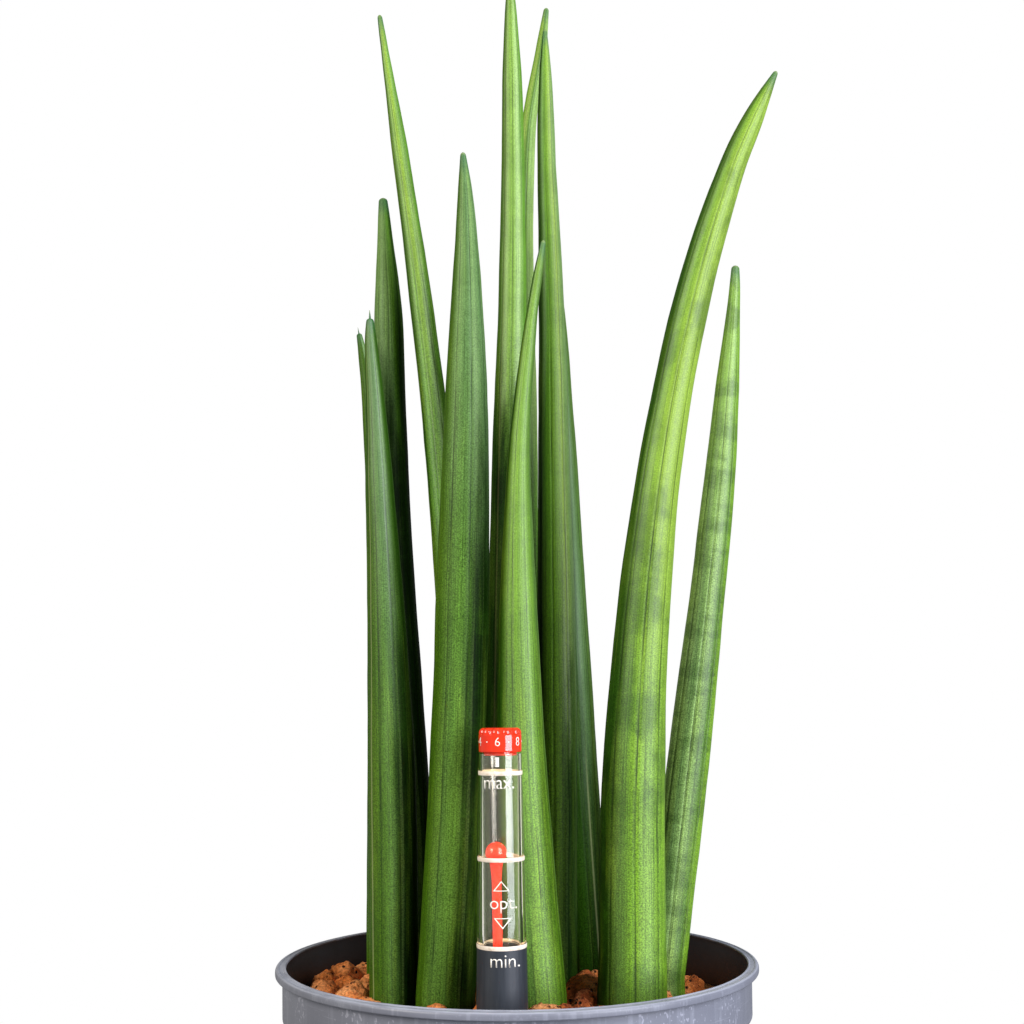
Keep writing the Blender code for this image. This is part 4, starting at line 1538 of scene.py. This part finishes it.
    def word(self, text: str, size: float, x: float, z: float, width: float = 0.0) -> Object:
        """A word as a flat mesh in front of the gauge.

        Args:
            text: The word or number.
            size: The letters' size in mm.
            x: Where its middle is, in mm.
            z: Where its letters stand, in mm.
            width: How wide it is drawn in mm, or 0 to leave it.

        Returns:
            The word.
        """
        deselect_all()
        bpy.ops.object.text_add()
        curve = bpy.context.object.data
        curve.body, curve.size, curve.resolution_u, curve.offset = text, size * MM, 4, -0.04 * MM
        bpy.ops.object.convert(target="MESH")
        word = bpy.context.object
        wide = word.dimensions.x
        word.scale.x = width * MM / wide if width else 1.0
        low = min(vertex.co.x for vertex in word.data.vertices) * word.scale.x
        return self.in_front(word, x - (width or wide / MM) / 2 - low / MM, z)

    def triangle(self, x: float, low: float, width: float, height: float, up: bool) -> Object:
        """A triangle's outline as a flat mesh in front of the gauge.

        Args:
            x: Where its middle is, in mm.
            low: Its lowest point in mm.
            width: Its width in mm.
            height: Its height in mm.
            up: Whether it points upwards.

        Returns:
            The triangle.
        """
        deselect_all()
        bpy.ops.mesh.primitive_circle_add(vertices=3, radius=1.0, fill_type="NGON")
        piece = bpy.context.object
        with editing(piece, "FACE"):
            bpy.ops.mesh.inset(thickness=0.1, use_boundary=True)
            bpy.ops.mesh.delete(type="FACE")
        piece.scale = (width / math.sqrt(3) * MM, height / 1.5 * MM, 1.0)
        settle(piece)
        share, turn = (1 / 3, math.pi / 2) if up else (2 / 3, -math.pi / 2)
        return self.in_front(piece, x, low + height * share, turn)

    def build_scale(self, material: Material) -> None:
        """The words, triangles and pointer mark printed on the tubes.

        Args:
            material: The ink.
        """
        x, z, width, height = self.pointer
        deselect_all()
        bpy.ops.mesh.primitive_plane_add(size=1.0)
        pointer = bpy.context.object
        pointer.scale = (width * MM, height * MM, 1.0)
        flat = [self.in_front(pointer, x, z), *(self.word(*word) for word in self.words),
                *(self.triangle(*triangle) for triangle in self.triangles)]
        form = turned("print_form", [
            (self.window_top_radius, self.window_top), (self.housing_top_radius, self.housing_top),
            (self.housing_radius, self.taper_height)], axis=self.axis)
        for piece in flat:
            self.wrap(piece, form)
        bpy.data.objects.remove(form)
        hand_over(join("scale_print", flat), material, 0, "root")

    def build_numbers(self, dial: Object, material: Material) -> None:
        """The months on the dial: every second number, with a dot between.

        Args:
            dial: The dial that they are printed on.
            material: The ink.
        """
        digits = []
        size, foot = self.number
        radius, middle = self.dot
        step = 720 / self.months
        for month in range(2, self.months + 1, 2):
            turn = self.dial_turn + step * (month / 2 - 3)
            digits.append(self.wrap(self.word(str(month), size, self.axis[0], foot), dial, turn))
            deselect_all()
            bpy.ops.mesh.primitive_circle_add(vertices=12, radius=radius * MM, fill_type="NGON")
            dot = self.in_front(bpy.context.object, self.axis[0], middle)
            digits.append(self.wrap(dot, dial, turn + step / 2))
        hand_over(join("dial_numbers", digits), material, 0, "dial")

    def build(self, foam_node: Object) -> None:
        """Build every piece of the gauge.

        Args:
            foam_node: The CAD's float, which stays and gets its finish.
        """
        self.build_housing()
        self.build_window()
        dial = self.build_dial()
        self.build_rod()
        ink = self.ink.material()
        self.build_rings()
        self.build_scale(ink)
        self.build_numbers(dial, ink)
        dress(foam_node, self.foam.material())


def leaf_forms() -> list[LeafForm]:
    """The twelve leaves: the CAD's outlines, each with its own skin.

    Returns:
        The leaves, from the left to the right.
    """
    green, lime = "leaf_green", "leaf_lime"
    # Each skin's tones hold painted shade where neighbours shut off the lamps, and painted sheen strips
    return [
        LeafForm(
            "leaf_left_edge", green, (398.5, -52.6), (4, 12), 10,
            ((185, -42.0, 11.5), (271, -43.2, 9.6), (335, -45.4, 7.4), (369, -47.8, 5.6),
             (388, -50.6, 3.4)),
            LeafSkin(tones("olive leaf deep deep deep"), tones("olive olive olive sage sage"), 214),
            tip_width=1.5, spine=2.3),
        LeafForm(
            "leaf_left_front", green, (392, -44.0), (-22, -31), 22,
            ((185, -36.8, 14.6), (237, -37.3, 14.6), (289, -38.7, 12.1), (330, -40.5, 8.8),
             (361, -42.1, 5.9), (382, -43.6, 3.8)),
            LeafSkin(tones("olive olive leaf deep deep"), tones("forest leaf spruce leaf forest"), 207,
                     margin_at=-50, margin=Tone.CREAM, margin_share=0.32, wax=0.75),
            tip_width=1.5, spine=2.6),
        LeafForm(
            "leaf_left_back", green, (450, -45.5), (15, 27), 5,
            ((185, -32.0, 14.0), (251, -35.9, 13.9), (318, -40.7, 13.2), (371, -42.4, 11.7),
             (410, -43.3, 9.5), (437, -44.7, 5.0)),
            LeafSkin(tones("shade shade deep deep shade"), tones("sage sage sage meadow forest"), 265,
                     (0.6, 0.95), wax=0.2), tip_width=3.0),
        LeafForm(
            "leaf_left_tall", lime, (512, -45.5), (5, 12), 30,
            ((185, -16.5, 12.5), (267, -17.9, 12.1), (348, -24.0, 9.4), (414, -31.6, 7.5),
             (463, -38.3, 5.3), (495, -43.0, 2.9)),
            LeafSkin(tones("forest meadow leaf deep deep"), tones("olive lime citron lime meadow"), 330,
                     (0.45, 0.9), flush=0.3)),
        LeafForm(
            "leaf_mid_left", green, (439, -14.3), (-30, -41), 16,
            ((185, -20.9, 17.6), (249, -17.3, 16.4), (312, -15.1, 15.7), (363, -13.8, 13.1),
             (401, -13.4, 8.2), (426, -13.7, 4.6)),
            LeafSkin(tones("olive leaf leaf deep deep"), tones("olive sage spruce sage spruce"), 255,
                     (0.45, 0.9), wax=0.2)),
        LeafForm(
            "leaf_tallest", green, (519, 0.7), (-3, -9), 0,
            ((185, -2.6, 15.3), (268, -1.9, 14.4), (352, -0.5, 11.8), (419, 0.9, 8.7), (469, 1.3, 7.2),
             (502, 1.0, 4.2)),
            LeafSkin(tones("shade deep shade olive forest"), tones("olive lime lime pale meadow"), 334,
                     (0.45, 0.68), margin_at=-38, margin=Tone.BARK, margin_share=0.2)),
        LeafForm(
            "leaf_mid_back", lime, (525, 14.4), (20, 33), 12,
            ((185, 1.7, 10.5), (270, 2.6, 10.3), (355, 4.3, 9.5), (423, 4.6, 7.6), (474, 6.8, 5.8),
             (508, 12.1, 3.9)),
            LeafSkin(tones("deep shade forest meadow meadow"), tones("moss citron leaf lime pale"), 342,
                     (0.35, 0.65)), tip_width=1.7),
        LeafForm(
            "leaf_mid_right", green, (506, 13.1), (8, 12), 35,
            ((185, 12.7, 13.1), (265, 13.8, 13.1), (346, 14.1, 10.9), (410, 13.9, 8.4), (458, 13.0, 6.2),
             (490, 13.0, 4.3)),
            LeafSkin(tones("deep moss moss shade shade"), tones("shade meadow moss citron sage"), 321,
                     (0.15, 0.5))),
        LeafForm(
            "leaf_right_back", green, (422, 17.9), (28, 44), 8,
            ((185, 24.3, 14.0), (244, 21.2, 14.5), (304, 19.4, 12.6), (351, 18.4, 10.2), (387, 18.0, 7.1),
             (411, 18.1, 3.8)),
            LeafSkin(tones("shade forest forest shade deep"), tones("leaf spruce shade spruce leaf"), 239,
                     (0.05, 0.5), margin_at=25, margin=Tone.CREAM, margin_share=0.28, margin_reach=75)),
        LeafForm(
            "leaf_mid_front", lime, (412, 10.4), (-30, -37), 26,
            ((185, 5.1, 18.6), (242, 2.2, 15.8), (298, 1.4, 11.4), (348, 2.3, 6.6), (385, 6.0, 3.9),
             (403, 8.8, 2.6)),
            LeafSkin(tones("forest leaf leaf moss olive"), tones("forest moss lime moss leaf"), 229,
                     (0.2, 0.6), flush=0.3)),
        LeafForm(
            "leaf_right_front", lime, (468.5, 85.3), (-25, -33), 0,
            ((185, 34.0, 20.6), (247, 35.7, 18.9), (304, 40.3, 15.9), (355, 47.9, 12.7),
             (398, 57.7, 11.0), (435, 69.5, 8.7), (454, 77.9, 6.2)),
            LeafSkin(tones("shade leaf moss lime moss"), tones("forest moss citron citron citron"), 290,
                     (0.1, 0.6), bands=0.55, band_length=24, flush=0.2)),
        LeafForm(
            "leaf_right_edge", lime, (418, 77.3), (2, 9), 40,
            ((185, 46.4, 13.1), (243, 54.7, 13.6), (301, 63.3, 11.6), (348, 69.7, 9.8), (383, 73.8, 7.0),
             (406, 76.4, 4.0)),
            LeafSkin(tones("pale sage pale leaf moss"), tones("moss moss pale lime moss"), 238,
                     (0.4, 0.95), bands=0.45, band_length=6.0, flush=0.3), tip_width=2.6),
    ]


@dataclass(frozen=True)
class Softbox:
    """A tall soft light that faces the plant."""

    name: str
    azimuth: float    # degrees to the right of the front
    distance: float   # metres from the plant's axis
    width: float
    height: float
    middle: float     # height of its middle in metres
    watts: float
    colour: str

    def build(self) -> None:
        """Hang the light."""
        angle = math.radians(self.azimuth)
        bpy.ops.object.light_add(type="AREA", location=(
            self.distance * math.sin(angle), -self.distance * math.cos(angle), self.middle))
        light = bpy.context.object
        light.name = self.name
        light.rotation_euler = (math.pi / 2, 0.0, angle)
        light.data.shape = "RECTANGLE"
        light.data.size, light.data.size_y = self.width, self.height
        light.data.energy = self.watts
        light.data.color = linear(self.colour)[:3]


@dataclass
class Studio:
    """The camera, two tall softboxes, a white surround and a pale floor."""

    camera_place: tuple[float, float, float] = (-0.0002, -0.44632, 0.27241)
    camera_pitch: float = 7.628
    camera_roll: float = -0.548
    lens: float = 48.21
    floor_radius: float = 0.66
    surround: str = "#FFFFFF"
    ambient: str = "#E8EEF4"
    ambient_strength: float = 0.17
    in_gloss: float = 0.16            # how strongly the surround shows in reflections
    floor_seen: str = "#E4E4E2"       # the floor's colour to the camera
    floor_lit: str = "#747474"        # the floor's colour to the plant, so that it throws up less light
    floor_fade: float = 0.25          # where the floor starts to fade out, in metres
    lights: tuple[Softbox, ...] = (
        Softbox("key_softbox", 46, 1.3, 0.85, 1.5, 0.79, 43, "#F0F3FF"),
        Softbox("fill_softbox", -52, 1.5, 0.8, 1.2, 1.1, 32, "#FFF9F0"),
    )

    def build_camera(self) -> None:
        """The camera, in front of the plant at half its height and tipped up a little."""
        bpy.ops.object.camera_add(location=self.camera_place)
        camera = bpy.context.object
        camera.name = "camera"
        camera.rotation_euler = (math.radians(90 + self.camera_pitch), 0.0, 0.0)
        camera.rotation_euler.rotate_axis("Z", math.radians(self.camera_roll))
        camera.data.lens = self.lens
        camera.data.sensor_width = 36.0
        camera.data.clip_start = 0.01
        camera.data.dof.use_dof = False
        bpy.context.scene.camera = camera

    def build_world(self) -> None:
        """A white surround for the eye and in reflections, that lights the plant only faintly."""
        world = bpy.data.worlds.new("white_surround")
        world.use_nodes = True
        tree = world.node_tree
        tree.nodes.clear()
        ray = add_node(tree, "LightPath").outputs
        seen = add_node(tree, "Math", {"operation": "MULTIPLY"}, {0: ray["Is Glossy Ray"], 1: self.in_gloss})
        for kind in ("Is Transmission Ray", "Is Camera Ray"):
            seen = add_node(tree, "Math", {"operation": "MAXIMUM"}, {0: ray[kind], 1: seen.outputs[0]})
        dim = add_node(tree, "Background", None, {"Color": self.ambient, "Strength": self.ambient_strength})
        white = add_node(tree, "Background", None, {"Color": self.surround, "Strength": 1.0})
        both = add_node(tree, "MixShader", None, {0: seen.outputs[0], 1: dim.outputs[0], 2: white.outputs[0]})
        add_node(tree, "OutputWorld", None, {"Surface": both.outputs[0]})
        bpy.context.scene.world = world

    def build_floor(self) -> None:
        """A pale round floor that fades into the surround."""
        deselect_all()
        bpy.ops.mesh.primitive_circle_add(vertices=96, radius=self.floor_radius, fill_type="NGON")
        floor = bpy.context.object
        floor.name = "floor"
        skin = Skin("pale_paper")
        away = skin.add("VectorMath", {"operation": "LENGTH"}, {0: skin.solid}).outputs["Value"]
        colour = skin.mix(skin.add("LightPath").outputs["Is Camera Ray"], self.floor_lit, self.floor_seen)
        material = skin.finish(colour, 0.9, skin.noise(skin.solid, 900.0), 0.1, 0.1)
        skin.open_up(skin.remap(away, self.floor_fade, self.floor_radius))
        dress(floor, material)

    def build(self) -> None:
        """Set up the studio."""
        self.build_camera()
        self.build_world()
        self.build_floor()
        for light in self.lights:
            light.build()
        bpy.context.scene.view_settings.view_transform = "Standard"


def main() -> None:
    """Load the frame and build every piece."""
    logging.basicConfig(level=logging.INFO, format="%(name)s: %(message)s")
    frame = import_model()
    Studio().build()
    forms = leaf_forms()
    pot = CulturePot()
    pot.build()
    ClayBed().build(pot, forms)
    for form in forms:
        Leaf(form).build()
    WaterGauge().build(frame["nodes"]["float_body"])


if __name__ == "__main__":
    main()
